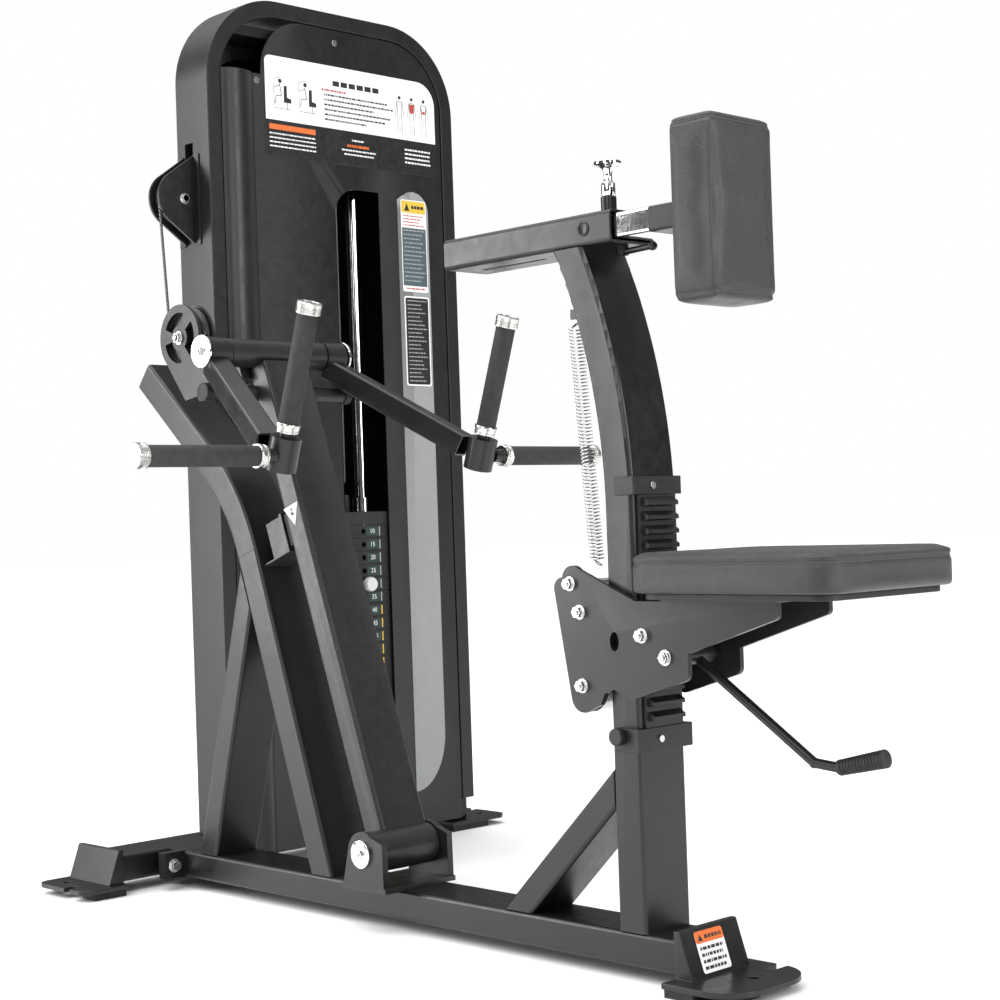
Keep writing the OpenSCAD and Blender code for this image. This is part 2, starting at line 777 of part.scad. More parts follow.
// where the sideways grips' bars run, past the joint's middle
side_bar = [joint_at.x + 6, 0, joint_at.z - 4];
module on_pivot() { on_lever() translate([pivot_x, 0, lever_len]) rotate([0, lean, 0]) children(); }
module both_hands() { for (s = [-1, 1]) scale([1, s, 1]) children(); }
module handle_shaft() { color(black) on_pivot() y_bar(pivot_r, -144, 144); }
module handle_caps() {
    color(chrome) on_pivot() both_hands() {
        y_bar(27, 144, 149);
        translate([0, 149, 0]) rotate([-90, 0, 0]) cylinder(r = 8, h = 6, $fn = 6);
    }
}
module handle_joint() { translate(joint_at) rotate([0, grip_lean, 0]) children(); }
module handle_arms() {
    color(black) on_pivot() both_hands() {
        difference() {
            union() {
                y_bar(25, 100, 141);
                translate(arm_root) rotate([0, atan2(144, norm([245, 83])), atan2(83, 245)])
                    rotate([0, 90, 0]) linear_extrude(arm_len) tube_section(arm_s, arm_s, 3, 5);
            }
            y_bar(pivot_r, 90, 150);
            handle_joint() cylinder(r = 23.9, h = 51.8, center = true);
            block([-60, 60, -120], [60, 99.5, 120]);
            y_bar(28, 143.8, 170);
        }
        handle_joint() difference() {
            translate([0, 0, -26]) cylinder(r = 24, h = 52);
            translate([0, 0, -30]) cylinder(r = 20, h = 20);
        }
        // bars inside the grips
        handle_joint() translate([0, 0, 26]) cylinder(r = bar_r, h = up_grip[1] - 18);
        translate(side_bar) y_bar(bar_r, joint_at.y + 22, side_grip[1] - 1);
    }
}
module hand_grips() {
    color(rubber) on_pivot() both_hands() {
        handle_joint() translate([0, 0, up_grip[0]]) difference() {
            cylinder(r = grip_r, h = up_grip[1] - up_grip[0]);
            translate([0, 0, -1]) cylinder(r = bar_r, h = up_grip[1] - up_grip[0] + 2);
        }
        translate(side_bar) difference() {
            y_bar(grip_r, side_grip[0], side_grip[1]);
            y_bar(bar_r, side_grip[0] - 1, side_grip[1] + 1);
        }
    }
}
collar_l = 15;
up_cap_l = 18;
side_cap_l = 19;
module grip_collars() {
    color(alu) on_pivot() both_hands() {
        handle_joint() {
            translate([0, 0, up_grip[0] - collar_l]) difference() {
                cylinder(r = collar_r, h = collar_l);
                translate([0, 0, -1]) cylinder(r = bar_r, h = collar_l + 2);
            }
            // cap, hollow where the bar ends
            translate([0, 0, up_grip[1]]) difference() {
                cylinder(r = cap_r, h = up_cap_l);
                translate([0, 0, -1]) cylinder(r = bar_r, h = 9);
            }
        }
        translate(side_bar) difference() {
            union() {
                y_bar(collar_r, side_grip[0] - collar_l + 1, side_grip[0]);
                y_bar(cap_r, side_grip[1], side_grip[1] + side_cap_l);
            }
            y_bar(bar_r, side_grip[0] - collar_l - 5, side_grip[1] + 3.2);
        }
    }
}

// ---------- seat ----------
bolt_r = 5;
// places of the carriage's bolts in the X-Z plane
bolts_at = [[-58, 537], [-41, 498], [-40, 397], [71, 468]];
module lobe_outline() {
    translate([-54, 543]) circle(19);
    translate([-73, 530]) circle(16);
    translate([-40, 382]) circle(22);
    translate([50, 395]) circle(13);
    translate([138, 420]) circle(11);
    translate([290, 499]) circle(7);
    polygon([[-54, 562], [-89, 530], [-62, 380], [-36, 360], [-8, 372], [0, 388], [17, 394], [40, 386],
        [54, 382.5],
        [141, 409.5], [149, 420], [149, 446], [293, 492.5], [297, 497], [297, 513.8], [60, 513.8], [-40,
            556]]);
}
module carriage_plates() {
    color(black) for (s = [-1, 1]) translate([0, s * (plate_y + plate_thick / 2), 0])
        xz_plate(-plate_thick / 2, plate_thick / 2) difference() {
            lobe_outline();
            translate([21, 459]) scale([0.62, 1]) circle(13);
            translate([release_x, release_z]) circle(release_r + run_gap);
            for (p = bolts_at) translate(p) circle(bolt_r + 0.4);
        }
}
module carriage_bolts() {
    color(chrome) for (p = bolts_at) {
        translate([p.x, 0, p.y]) y_bar(bolt_r, -plate_y - plate_thick - 2, plate_y + plate_thick + 2);
        for (s = [-1, 1]) scale([1, s, 1]) bolt_y(p.x, -plate_y - plate_thick, p.y, 1.25);
    }
    // rollers on the back of the post
    color(rubber) for (z = [498, 397]) translate([-41, 0, z]) difference() {
        y_bar(37.5, -44, 44);
        y_bar(bolt_r, -60, 60);
    }
}
module seat_bracket() {
    color(black) {
        // plate under the board, and the tie between the carriage plates
        block([112, -66, 514], [300, 66, 520]);
        block([150, -plate_y, 470], [156, plate_y, 513.8]);
    }
}
// a slab with round corners, from z0 to z1
module slab(x0, x1, w, r, z0, z1) {
    translate([(x0 + x1) / 2, 0, z0]) linear_extrude(z1 - z0) round_rect(x1 - x0, w, r);
}
module seat_board() {
    color([0.05, 0.05, 0.05]) slab(seat_x0 + 15, seat_x0 + seat_l - 15, seat_w - 30, 26, 520, seat_bottom);
}
module seat_cushion() {
    color([0.06, 0.06, 0.06]) slab(seat_x0, seat_x0 + seat_l, seat_w, 34, seat_bottom, 577);
}
module release_lever() {
    color(black) translate([release_x, 0, release_z]) {
        y_bar(release_r, -plate_y - plate_thick - 3, plate_y + plate_thick + 3);
        difference() { y_bar(13, -30, 30); y_bar(release_r, -31, 31); }
        // pawl that drops into the rack
        block([-44, -20, -8], [-11, 20, 6]);
    }
    color(black) {
        rod([release_x + 8, 0, release_z - 6], release_end, 6.5);
        translate(release_end) sphere(7.2);
        rod(release_end, [345, 0, 305], 6.5);
    }
}
module release_grip() { color(rubber) rod([340, 0, 305.4], [411, 0, 322], 12); }
module seat_spring() {
    color(chrome) {
        rod(spring_low + [0, 0, 16], spring_top - [0, 0, 8], spring_r);
    }
}

// ---------- chest pad ----------
pad_tube_x0 = -215;
pad_tube_x1 = 148;
hole_pitch = 20;
module pad_tube() {
    color(chrome) difference() {
        translate([pad_tube_x0, 0, (sleeve_z0 + sleeve_z1) / 2]) rotate([0, 90, 0])
            linear_extrude(pad_tube_x1 - pad_tube_x0) tube_section(34, 78, 3, 5);
        // five holes back and three forward of the one at rest
        for (i = [-5 : 3]) translate([pin_x + i * hole_pitch, 0, sleeve_z1 - 20])
            cylinder(r = lock_r + 0.4, h = 20);
    }
}
module chest_board() {
    color(black) {
        block([pad_tube_x1, -40, chest_z - 90], [pad_tube_x1 + 4, 40, chest_z + 90]);
        translate([pad_tube_x1 + 4, 0, chest_z]) rotate([0, 90, 0]) linear_extrude(8)
            round_rect(chest_h - 12, chest_w - 12, 10);
    }
}
chest_d = 61;
module chest_cushion() {
    color([0.06, 0.06, 0.06]) translate([chest_x0, 0, chest_z]) rotate([0, 90, 0])
        linear_extrude(chest_d) round_rect(chest_h, chest_w, 14);
}
knob_z = 70;
module pop_pin() {
    color(chrome) translate([pin_x, 0, sleeve_z1]) {
        translate([0, 0, -5]) cylinder(r = lock_r, h = knob_z + 5);
        translate([0, 0, knob_z]) cylinder(r = 19, h = 5);
        translate([0, 0, knob_z + 5]) cylinder(r = 8, h = 3);
    }
}
// small lever that clamps the pad tube from below
clamp_x = 8;
module clamp_lever() {
    color(black) {
        translate([clamp_x, 0, sleeve_z0 - 13]) cylinder(r = 9, h = 12.5);
        rod([clamp_x, 0, 991], [66, -5, 992], 4.5);
        translate([68, -5.2, 992]) sphere(6.5);
    }
}

in_row() main_beam();
in_row() rear_crossbeam();
in_row() left_foot();
in_row() right_foot();
in_row() front_foot();
in_row() foot_pads();
in_row() rear_column();
in_row() rear_leg();
in_row() seat_post();
in_row() post_brace();
in_row() pad_sleeve();
in_row() pivot_clevis();
in_row() pivot_shaft();
in_row() stop_bracket();
in_row() stop_bumper();
in_row() tower_frame();
in_row() front_shroud();
in_row() rear_shroud();
in_row() side_strip();
in_row() placard();
in_row() guide_rods();
in_row() lower_plates();
in_row() stack_cushions();
in_row() top_beam();
in_row() side_bracket();
in_row() gear_rack();
in_row() rack_clamps();
in_row() frame_bolts();
in_row() cable_run();
in_row() lever_arm();
in_row() lever_hub();
in_row() pulley_yoke();
in_row() stop_tube();
in_row() stop_rubbers();
in_row() lever_pulley();
in_row() side_pulley();
in_row() top_pulley();
in_row() handle_shaft();
in_row() handle_arms();
in_row() handle_caps();
in_row() hand_grips();
in_row() grip_collars();
in_row() carriage_plates();
in_row() carriage_bolts();
in_row() seat_bracket();
in_row() seat_board();
in_row() seat_cushion();
in_row() release_lever();
in_row() release_grip();
in_row() seat_spring();
in_row() pad_tube();
in_row() chest_board();
in_row() chest_cushion();
in_row() pop_pin();
in_row() clamp_lever();
in_row() top_plate();
in_row() lifted_plates();
in_row() selector_pin();
in_row() cable_stack();
in_row() cable_lever();
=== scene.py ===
import json
import math
import random

import bmesh
import bpy
import numpy as np
from mathutils import Matrix, Vector


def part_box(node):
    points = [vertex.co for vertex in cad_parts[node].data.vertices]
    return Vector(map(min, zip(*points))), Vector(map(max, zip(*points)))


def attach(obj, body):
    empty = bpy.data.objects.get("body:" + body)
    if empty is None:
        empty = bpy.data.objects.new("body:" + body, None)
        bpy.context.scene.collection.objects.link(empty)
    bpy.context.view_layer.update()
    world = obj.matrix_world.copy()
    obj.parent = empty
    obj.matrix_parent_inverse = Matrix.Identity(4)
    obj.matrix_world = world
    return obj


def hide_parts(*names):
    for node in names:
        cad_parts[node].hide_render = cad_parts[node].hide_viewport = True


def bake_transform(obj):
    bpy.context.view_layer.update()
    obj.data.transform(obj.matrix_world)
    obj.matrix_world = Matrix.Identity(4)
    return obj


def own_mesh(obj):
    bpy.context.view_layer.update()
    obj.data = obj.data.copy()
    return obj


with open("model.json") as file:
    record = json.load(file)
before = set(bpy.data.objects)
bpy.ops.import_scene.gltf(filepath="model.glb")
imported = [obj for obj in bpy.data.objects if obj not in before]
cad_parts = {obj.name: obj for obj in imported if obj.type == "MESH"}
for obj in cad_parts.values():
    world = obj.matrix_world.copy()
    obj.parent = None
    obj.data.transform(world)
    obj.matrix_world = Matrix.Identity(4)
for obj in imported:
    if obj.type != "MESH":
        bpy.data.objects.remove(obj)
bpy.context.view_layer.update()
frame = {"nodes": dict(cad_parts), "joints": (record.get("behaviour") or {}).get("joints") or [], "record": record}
random.seed(7)
scene = bpy.context.scene
JOINTS = {j["name"]: j for j in frame["joints"]}
MM = 0.001
STACK_TOP = 652.3               # top of the weight stack's top plate, and its plates below
PLATE_PITCH = 25.7
PLATE_HALF = 12.5
LIFTED_PLATES = 5
ROD_PLACES = (373, 459)         # the two guide rods, across the machine
TOP_PULLEY = (-1118, 417.3, 1500)
CABLE_LOW = 712                 # the lift cable piece's lower end, 26 above the eye
SPRING_LOW = (-58, 0, 559)
SPRING_TOP = (-86, 0, 904)
PANEL_FACE = -1054.4            # front of the tower's printed sheets
LEAN = math.radians(19.3)       # how far the lever leans back at rest
GRIP_LEAN = math.radians(19)    # how far the upright grips lean forward
HINGE = Vector((-493.4, 0.0, 122.0))
# machine drawings are in millimetres from the seat post's foot; this is that point in the shared frame
IN_ROW = Vector(JOINTS["lever_swing"]["pos_m"]) - HINGE * MM


def at(x, y, z):
    return IN_ROW + Vector((x, y, z)) * MM


def lever_point(x, y, z):
    """Machine millimetres for a point given in the lever's own frame."""
    c, s = math.cos(LEAN), math.sin(LEAN)
    return (HINGE.x + x * c - z * s, y, HINGE.z + x * s + z * c)


def on_lever(x, y, z):
    return at(*lever_point(x, y, z))


HANDLE_PIVOT = Vector(lever_point(-12.8, 0, 849))


def on_handles(x, y, z):
    return at(HANDLE_PIVOT.x + x, HANDLE_PIVOT.y + y, HANDLE_PIVOT.z + z)


# ---------------------------------------------------------------- camera, light and floor
def look(yaw, pitch, roll):
    """A rotation whose -Z looks along yaw and pitch, rolled about that line."""
    ahead = Vector((math.cos(pitch) * math.cos(yaw), math.cos(pitch) * math.sin(yaw), math.sin(pitch)))
    right = ahead.cross(Vector((0, 0, 1))).normalized()
    up = right.cross(ahead)
    r = math.cos(roll) * right + math.sin(roll) * up
    u = -math.sin(roll) * right + math.cos(roll) * up
    return Matrix((r, u, -ahead)).transposed().to_4x4()


def add_camera():
    data = bpy.data.cameras.new("camera")
    data.lens = 66.58
    data.sensor_width = 36.0
    data.clip_end = 50.0
    camera = bpy.data.objects.new("camera", data)
    camera.matrix_world = Matrix.Translation(at(1708.6, -1901.9, 630.2)) @ look(2.371, 0.010, -0.034)
    scene.collection.objects.link(camera)
    scene.camera = camera


def area_light(name, place, target, size, power, size_y=None):
    data = bpy.data.lights.new(name, "AREA")
    data.energy = power
    data.shape = "RECTANGLE"
    data.size = size
    data.size_y = size_y or size
    lamp = bpy.data.objects.new(name, data)
    lamp.location = place
    lamp.rotation_euler = (Vector(target) - Vector(place)).to_track_quat("-Z", "Y").to_euler()
    scene.collection.objects.link(lamp)


def add_world():
    """White to the camera; to everything else a dim room with a bright ceiling and a soft band of light."""
    world = bpy.data.worlds.new("studio")
    world.use_nodes = True
    tree = world.node_tree
    back = tree.nodes["Background"]
    coords = tree.nodes.new("ShaderNodeTexCoord")
    split = tree.nodes.new("ShaderNodeSeparateXYZ")
    tree.links.new(coords.outputs["Generated"], split.inputs["Vector"])
    room = tree.nodes.new("ShaderNodeValToRGB")
    stops = room.color_ramp.elements
    stops[0].position, stops[0].color = 0.0, (0.10, 0.10, 0.10, 1.0)
    stops[1].position, stops[1].color = 1.0, (0.95, 0.95, 0.95, 1.0)
    for place, level in ((0.12, 0.07), (0.30, 0.20), (0.55, 0.42)):
        stops.new(place).color = (level, level, level * 1.01, 1.0)
    tree.links.new(split.outputs["Z"], room.inputs["Fac"])
    mix = tree.nodes.new("ShaderNodeMixRGB")
    path = tree.nodes.new("ShaderNodeLightPath")
    tree.links.new(path.outputs["Is Camera Ray"], mix.inputs["Fac"])
    tree.links.new(room.outputs["Color"], mix.inputs["Color1"])
    mix.inputs["Color2"].default_value = (1.0, 1.0, 1.0, 1.0)
    tree.links.new(mix.outputs["Color"], back.inputs["Color"])
    scene.world = world


def add_studio():
    add_world()
    scene.view_settings.view_transform = "Standard"
    area_light("key", (1.4, -3.6, 2.6), (-0.2, 0, 0.7), 1.2, 55, 2.2)
    area_light("front", (3.6, 0.9, 2.0), (-0.2, 0, 0.7), 0.7, 45, 2.4)
    area_light("left_edge", (-3.0, -2.8, 1.5), (-0.4, 0, 0.8), 1.4, 120, 2.6)
    area_light("strip_right", (4.2, 0.6, 1.4), (-0.8, 0, 0.9), 0.35, 45, 2.6)
    area_light("strip_left", (4.0, -1.6, 1.4), (-0.8, 0, 0.9), 0.35, 35, 2.6)
    ceiling = bpy.data.lights.new("ceiling", "SUN")
    ceiling.energy = 3.3
    ceiling.angle = math.radians(75)
    lamp = bpy.data.objects.new("ceiling", ceiling)
    lamp.rotation_euler = (math.radians(12), math.radians(-10), 0)
    scene.collection.objects.link(lamp)
    bpy.ops.mesh.primitive_plane_add(size=60, location=(0, 0, 0))
    floor = bpy.context.object
    floor.name = "floor"
    floor.data.materials.append(floor_paint())


# ---------------------------------------------------------------- materials
def new_material(name):
    material = bpy.data.materials.new(name)
    material.use_nodes = True
    tree = material.node_tree
    return material, tree, tree.nodes["Principled BSDF"]


def node_of(tree, kind, **inputs):
    n = tree.nodes.new(kind)
    for key, value in inputs.items():
        n.inputs[key.replace("_", " ")].default_value = value
    return n


def noise(tree, scale, detail=3.0, stretch=None):
    coords = tree.nodes.new("ShaderNodeTexCoord")
    n = node_of(tree, "ShaderNodeTexNoise", Scale=scale, Detail=detail, Roughness=0.55)
    if stretch:
        mapping = tree.nodes.new("ShaderNodeMapping")
        mapping.inputs["Scale"].default_value = stretch
        tree.links.new(coords.outputs["Object"], mapping.inputs["Vector"])
        tree.links.new(mapping.outputs["Vector"], n.inputs["Vector"])
    else:
        tree.links.new(coords.outputs["Object"], n.inputs["Vector"])
    return n.outputs["Fac"]


def ramp(tree, source, low, high, start=0.0, end=1.0):
    r = tree.nodes.new("ShaderNodeValToRGB")
    r.color_ramp.elements[0].position = start
    r.color_ramp.elements[1].position = end
    grey = lambda v: (v, v, v, 1.0) if isinstance(v, (int, float)) else (*v, 1.0)
    r.color_ramp.elements[0].color = grey(low)
    r.color_ramp.elements[1].color = grey(high)
    tree.links.new(source, r.inputs["Fac"])
    return r.outputs["Color"]


def bump(tree, shader, height, distance, strength=0.4):
    b = node_of(tree, "ShaderNodeBump", Strength=strength, Distance=distance)
    tree.links.new(height, b.inputs["Height"])
    tree.links.new(b.outputs["Normal"], shader.inputs["Normal"])


def added(tree, a, b, weight):
    m = tree.nodes.new("ShaderNodeMath")
    m.operation = "MULTIPLY_ADD"
    m.inputs[1].default_value = weight
    tree.links.new(b, m.inputs[0])
    tree.links.new(a, m.inputs[2])
    return m.outputs[0]


def painted_edge_highlight(tree, low, high):
    """Colour that lightens a little on convex edges: a painted highlight."""
    geo = tree.nodes.new("ShaderNodeNewGeometry")
    return ramp(tree, geo.outputs["Pointiness"], low, high, 0.52, 0.62)


def paint(name, dark, light, rough, peel=900.0, depth=0.00012, coat=0.0):
    """Powder coat: an orange-peel skin, slightly uneven in gloss, with a painted highlight lightening its edges.
    """
    material, tree, shader = new_material(name)
    base = ramp(tree, noise(tree, 14.0, 4.0), dark, light, 0.35, 0.7)
    mix = tree.nodes.new("ShaderNodeMixRGB")
    mix.blend_type = "ADD"
    mix.inputs["Fac"].default_value = 1.0
    tree.links.new(base, mix.inputs["Color1"])
    # painted highlight: the base colour is lightened along convex edges
    tree.links.new(painted_edge_highlight(tree, 0.0, 0.02), mix.inputs["Color2"])
    tree.links.new(mix.outputs["Color"], shader.inputs["Base Color"])
    tree.links.new(ramp(tree, noise(tree, 60.0, 3.0), rough - 0.05, rough + 0.07, 0.3, 0.7),
                   shader.inputs["Roughness"])
    bump(tree, shader, noise(tree, peel, 2.0), depth, 0.35)
    shader.inputs["Specular IOR Level"].default_value = 0.34
    shader.inputs["Coat Weight"].default_value = coat
    shader.inputs["Coat Roughness"].default_value = 0.18
    return material


def metal(name, colour, rough, grain=None):
    material, tree, shader = new_material(name)
    dull = tuple(c * 0.82 for c in colour)
    tree.links.new(ramp(tree, noise(tree, 30.0, 4.0), dull, colour, 0.3, 0.7), shader.inputs["Base Color"])
    shader.inputs["Metallic"].default_value = 1.0
    fine = noise(tree, 40.0, 4.0, stretch=grain) if grain else noise(tree, 220.0, 4.0)
    tree.links.new(ramp(tree, fine, rough * 0.7, rough * 1.5, 0.3, 0.7), shader.inputs["Roughness"])
    bump(tree, shader, fine, 0.00003, 0.3)
    return material


def rubber_like(name, dark, light, rough, scale=1200.0, depth=0.0002):
    material, tree, shader = new_material(name)
    tree.links.new(ramp(tree, noise(tree, 45.0, 5.0), dark, light, 0.3, 0.75), shader.inputs["Base Color"])
    tree.links.new(ramp(tree, noise(tree, 90.0, 3.0), rough - 0.06, rough + 0.08, 0.3, 0.7),
                   shader.inputs["Roughness"])
    bump(tree, shader, noise(tree, scale, 3.0), depth, 0.4)
    shader.inputs["Specular IOR Level"].default_value = 0.4
    return material


def grip_foam():
    """Hand grip rubber with a fine knurl that runs round and along the grip."""
    material, tree, shader = new_material("grip_foam")
    tree.links.new(ramp(tree, noise(tree, 70.0, 6.0), (0.020, 0.020, 0.021), (0.034, 0.034, 0.035), 0.3,
                        0.75),
                   shader.inputs["Base Color"])
    cells = tree.nodes.new("ShaderNodeTexVoronoi")
    cells.inputs["Scale"].default_value = 620.0
    coords = tree.nodes.new("ShaderNodeTexCoord")
    tree.links.new(coords.outputs["Object"], cells.inputs["Vector"])
    bump(tree, shader, added(tree, cells.outputs["Distance"], noise(tree, 1500.0), 0.5), 0.0004, 0.5)
    shader.inputs["Roughness"].default_value = 0.72
    shader.inputs["Specular IOR Level"].default_value = 0.35
    return material


def vinyl():
    """Upholstery vinyl: pebbled grain cells, creases and a soft sheen."""
    material, tree, shader = new_material("vinyl")
    coords = tree.nodes.new("ShaderNodeTexCoord")
    cells = tree.nodes.new("ShaderNodeTexVoronoi")
    cells.feature = "DISTANCE_TO_EDGE"
    cells.inputs["Scale"].default_value = 420.0
    warp = node_of(tree, "ShaderNodeTexNoise", Scale=90.0, Detail=2.0)
    tree.links.new(coords.outputs["Object"], warp.inputs["Vector"])
    shift = tree.nodes.new("ShaderNodeVectorMath")
    shift.operation = "MULTIPLY_ADD"
    shift.inputs[1].default_value = (0.004, 0.004, 0.004)
    tree.links.new(warp.outputs["Color"], shift.inputs[0])
    tree.links.new(coords.outputs["Object"], shift.inputs[2])
    tree.links.new(shift.outputs["Vector"], cells.inputs["Vector"])
    grain = ramp(tree, cells.outputs["Distance"], 0.0, 1.0, 0.0, 0.16)
    tree.links.new(ramp(tree, noise(tree, 22.0, 5.0), (0.008, 0.008, 0.0085), (0.016, 0.016, 0.0165), 0.3,
                        0.75),
                   shader.inputs["Base Color"])
    tree.links.new(ramp(tree, noise(tree, 35.0, 4.0), 0.36, 0.50, 0.3, 0.7), shader.inputs["Roughness"])
    bump(tree, shader, added(tree, grain, noise(tree, 55.0, 5.0), 1.5), 0.00045, 0.45)
    shader.inputs["Specular IOR Level"].default_value = 0.5
    shader.inputs["Sheen Weight"].default_value = 0.08
    shader.inputs["Sheen Roughness"].default_value = 0.5
    return material


def printed(name, colour, rough=0.4):
    """A printed film: an even colour with faint mottling and scuffs in its gloss."""
    material, tree, shader = new_material(name)
    pale = tuple(min(1.0, c * 1.06 + 0.003) for c in colour)
    tree.links.new(ramp(tree, noise(tree, 35.0, 4.0), colour, pale, 0.3, 0.7), shader.inputs["Base Color"])
    tree.links.new(ramp(tree, noise(tree, 120.0, 4.0), rough - 0.06, rough + 0.1, 0.3, 0.7),
                   shader.inputs["Roughness"])
    bump(tree, shader, noise(tree, 400.0), 0.00005, 0.3)
    return material


def floor_paint():
    material, tree, shader = new_material("floor_paint")
    tree.links.new(ramp(tree, noise(tree, 3.0, 4.0), 0.86, 0.90, 0.3, 0.7), shader.inputs["Base Color"])
    shader.inputs["Roughness"].default_value = 0.55
    return material


def seam_thread():
    """Twisted sewing thread, a shade paler than the vinyl."""
    material, tree, shader = new_material("thread")
    tree.links.new(ramp(tree, noise(tree, 900.0, 2.0), (0.035, 0.035, 0.036), (0.075, 0.075, 0.076), 0.3,
                        0.7),
                   shader.inputs["Base Color"])
    bump(tree, shader, noise(tree, 2400.0), 0.0001, 0.5)
    shader.inputs["Roughness"].default_value = 0.7
    return material


def wire_rope():
    """Steel cable: strands that twist round its length."""
    material, tree, shader = new_material("cable_steel")
    coords = tree.nodes.new("ShaderNodeTexCoord")
    wave = node_of(tree, "ShaderNodeTexWave", Scale=95.0, Distortion=0.4)
    wave.bands_direction = "DIAGONAL"
    tree.links.new(coords.outputs["Object"], wave.inputs["Vector"])
    tree.links.new(ramp(tree, wave.outputs["Fac"], 0.015, 0.20, 0.2, 0.9), shader.inputs["Base Color"])
    shader.inputs["Metallic"].default_value = 0.85
    tree.links.new(ramp(tree, noise(tree, 200.0), 0.3, 0.5, 0.3, 0.7), shader.inputs["Roughness"])
    bump(tree, shader, wave.outputs["Fac"], 0.0006, 0.7)
    return material


MATERIALS = {
    "frame_paint": paint("frame_paint", 0.0045, 0.0075, 0.33, coat=0.12),
    "shroud_paint": paint("shroud_paint", 0.006, 0.009, 0.34, peel=1500.0, depth=0.0002),
    "lever_paint": paint("lever_paint", 0.0055, 0.009, 0.35, coat=0.10),
    "plate_iron": paint("plate_iron", 0.006, 0.010, 0.5, peel=700.0, depth=0.0003),
    "chrome": metal("chrome", (0.78, 0.78, 0.79), 0.07),
    "zinc": metal("zinc", (0.66, 0.66, 0.65), 0.22),
    "aluminium": metal("aluminium", (0.66, 0.65, 0.63), 0.25, grain=(1.0, 1.0, 14.0)),
    "rubber": rubber_like("rubber", 0.006, 0.011, 0.6),
    "grip_rubber": grip_foam(),
    "plastic": rubber_like("plastic", 0.006, 0.010, 0.42, 900.0, 0.0001),
    "pulley_nylon": rubber_like("pulley_nylon", 0.005, 0.010, 0.38, 700.0, 0.0001),
    "vinyl": vinyl(),
    "board": rubber_like("board", 0.005, 0.009, 0.45, 800.0, 0.0002),
    "strip_plastic": printed("strip_plastic", (0.26, 0.265, 0.27), 0.42),
    "placard_sheet": printed("placard_sheet", (0.010, 0.010, 0.011), 0.34),
    "cable_steel": wire_rope(),
    "thread": seam_thread(),
    "ink_white": printed("ink_white", (0.74, 0.75, 0.75), 0.42),
    "ink_black": printed("ink_black", (0.012, 0.012, 0.013), 0.42),
    "ink_red": printed("ink_red", (0.42, 0.05, 0.035), 0.42),
    "ink_orange": printed("ink_orange", (0.62, 0.13, 0.025), 0.42),
    "ink_yellow": printed("ink_yellow", (0.62, 0.42, 0.05), 0.42),
    "ink_slate": printed("ink_slate", (0.055, 0.085, 0.095), 0.42),
    "ink_grey": printed("ink_grey", (0.30, 0.31, 0.32), 0.42),
    "ink_green": printed("ink_green", (0.008, 0.035, 0.028), 0.42),
    "knob_white": rubber_like("knob_white", 0.62, 0.70, 0.35, 600.0, 0.0001),
}
SLOT_OF = {s["node"]: s["material_slot"] for s in frame["record"]["subparts"]}
BODY_OF = {n: b for b, ns in frame["record"]["behaviour"]["bodies"].items() for n in ns}


# ---------------------------------------------------------------- mesh helpers
def new_object(name, mesh, material=None):
    obj = bpy.data.objects.new(name, mesh)
    scene.collection.objects.link(obj)
    if material:
        mesh.materials.append(material)
    return obj


def from_bmesh(name, bm, material=None, smooth=True):
    mesh = bpy.data.meshes.new(name)
    bm.to_mesh(mesh)
    bm.free()
    if smooth:
        mesh.polygons.foreach_set("use_smooth", [True] * len(mesh.polygons))
    return new_object(name, mesh, material)


def applied(obj):
    """Bakes the object's modifiers into its mesh."""
    graph = bpy.context.evaluated_depsgraph_get()
    mesh = bpy.data.meshes.new_from_object(obj.evaluated_get(graph))
    old = obj.data
    obj.modifiers.clear()
    obj.data = mesh
    bpy.data.meshes.remove(old)
    return obj


def finish_piece(obj, body, material_slot, *nodes):
    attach(obj, body)
    if nodes:
        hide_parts(*nodes)
    return obj


def soft_edged(node, width):
    """A copy of a CAD node with its sharp edges rounded, as rolled and welded steel has them."""
    source = frame["nodes"][node]
    bm = bmesh.new()
    bm.from_mesh(source.data)
    bmesh.ops.remove_doubles(bm, verts=bm.verts, dist=1e-5)
    bmesh.ops.dissolve_limit(bm, angle_limit=math.radians(0.6), verts=bm.verts, edges=bm.edges)
    obj = from_bmesh(node + "_piece", bm, MATERIALS[SLOT_OF[node]])
    bevel = obj.modifiers.new("bevel", "BEVEL")
    bevel.width = width
    bevel.segments = 2
    bevel.limit_method = "ANGLE"
    bevel.angle_limit = math.radians(32)
    bevel.use_clamp_overlap = True
    weighted = obj.modifiers.new("weighted", "WEIGHTED_NORMAL")
    weighted.keep_sharp = True
    bpy.context.view_layer.update()
    applied(obj)
    return finish_piece(obj, BODY_OF[node], SLOT_OF[node], node)


# ---------------------------------------------------------------- upholstery
def swollen(now, rest, normals, cap):
    """Keeps only the swelling straight out of the resting surface, up to cap."""
    push = np.clip(((now - rest) * normals).sum(axis=1), -0.0003, cap)
    return rest + normals * push[:, None]


def coords_of(mesh):
    co = np.zeros(len(mesh.vertices) * 3)
    mesh.vertices.foreach_get("co", co)
    return co.reshape(-1, 3)


def put_coords(mesh, co):
    mesh.vertices.foreach_set("co", np.asarray(co, float).ravel())
    mesh.update()


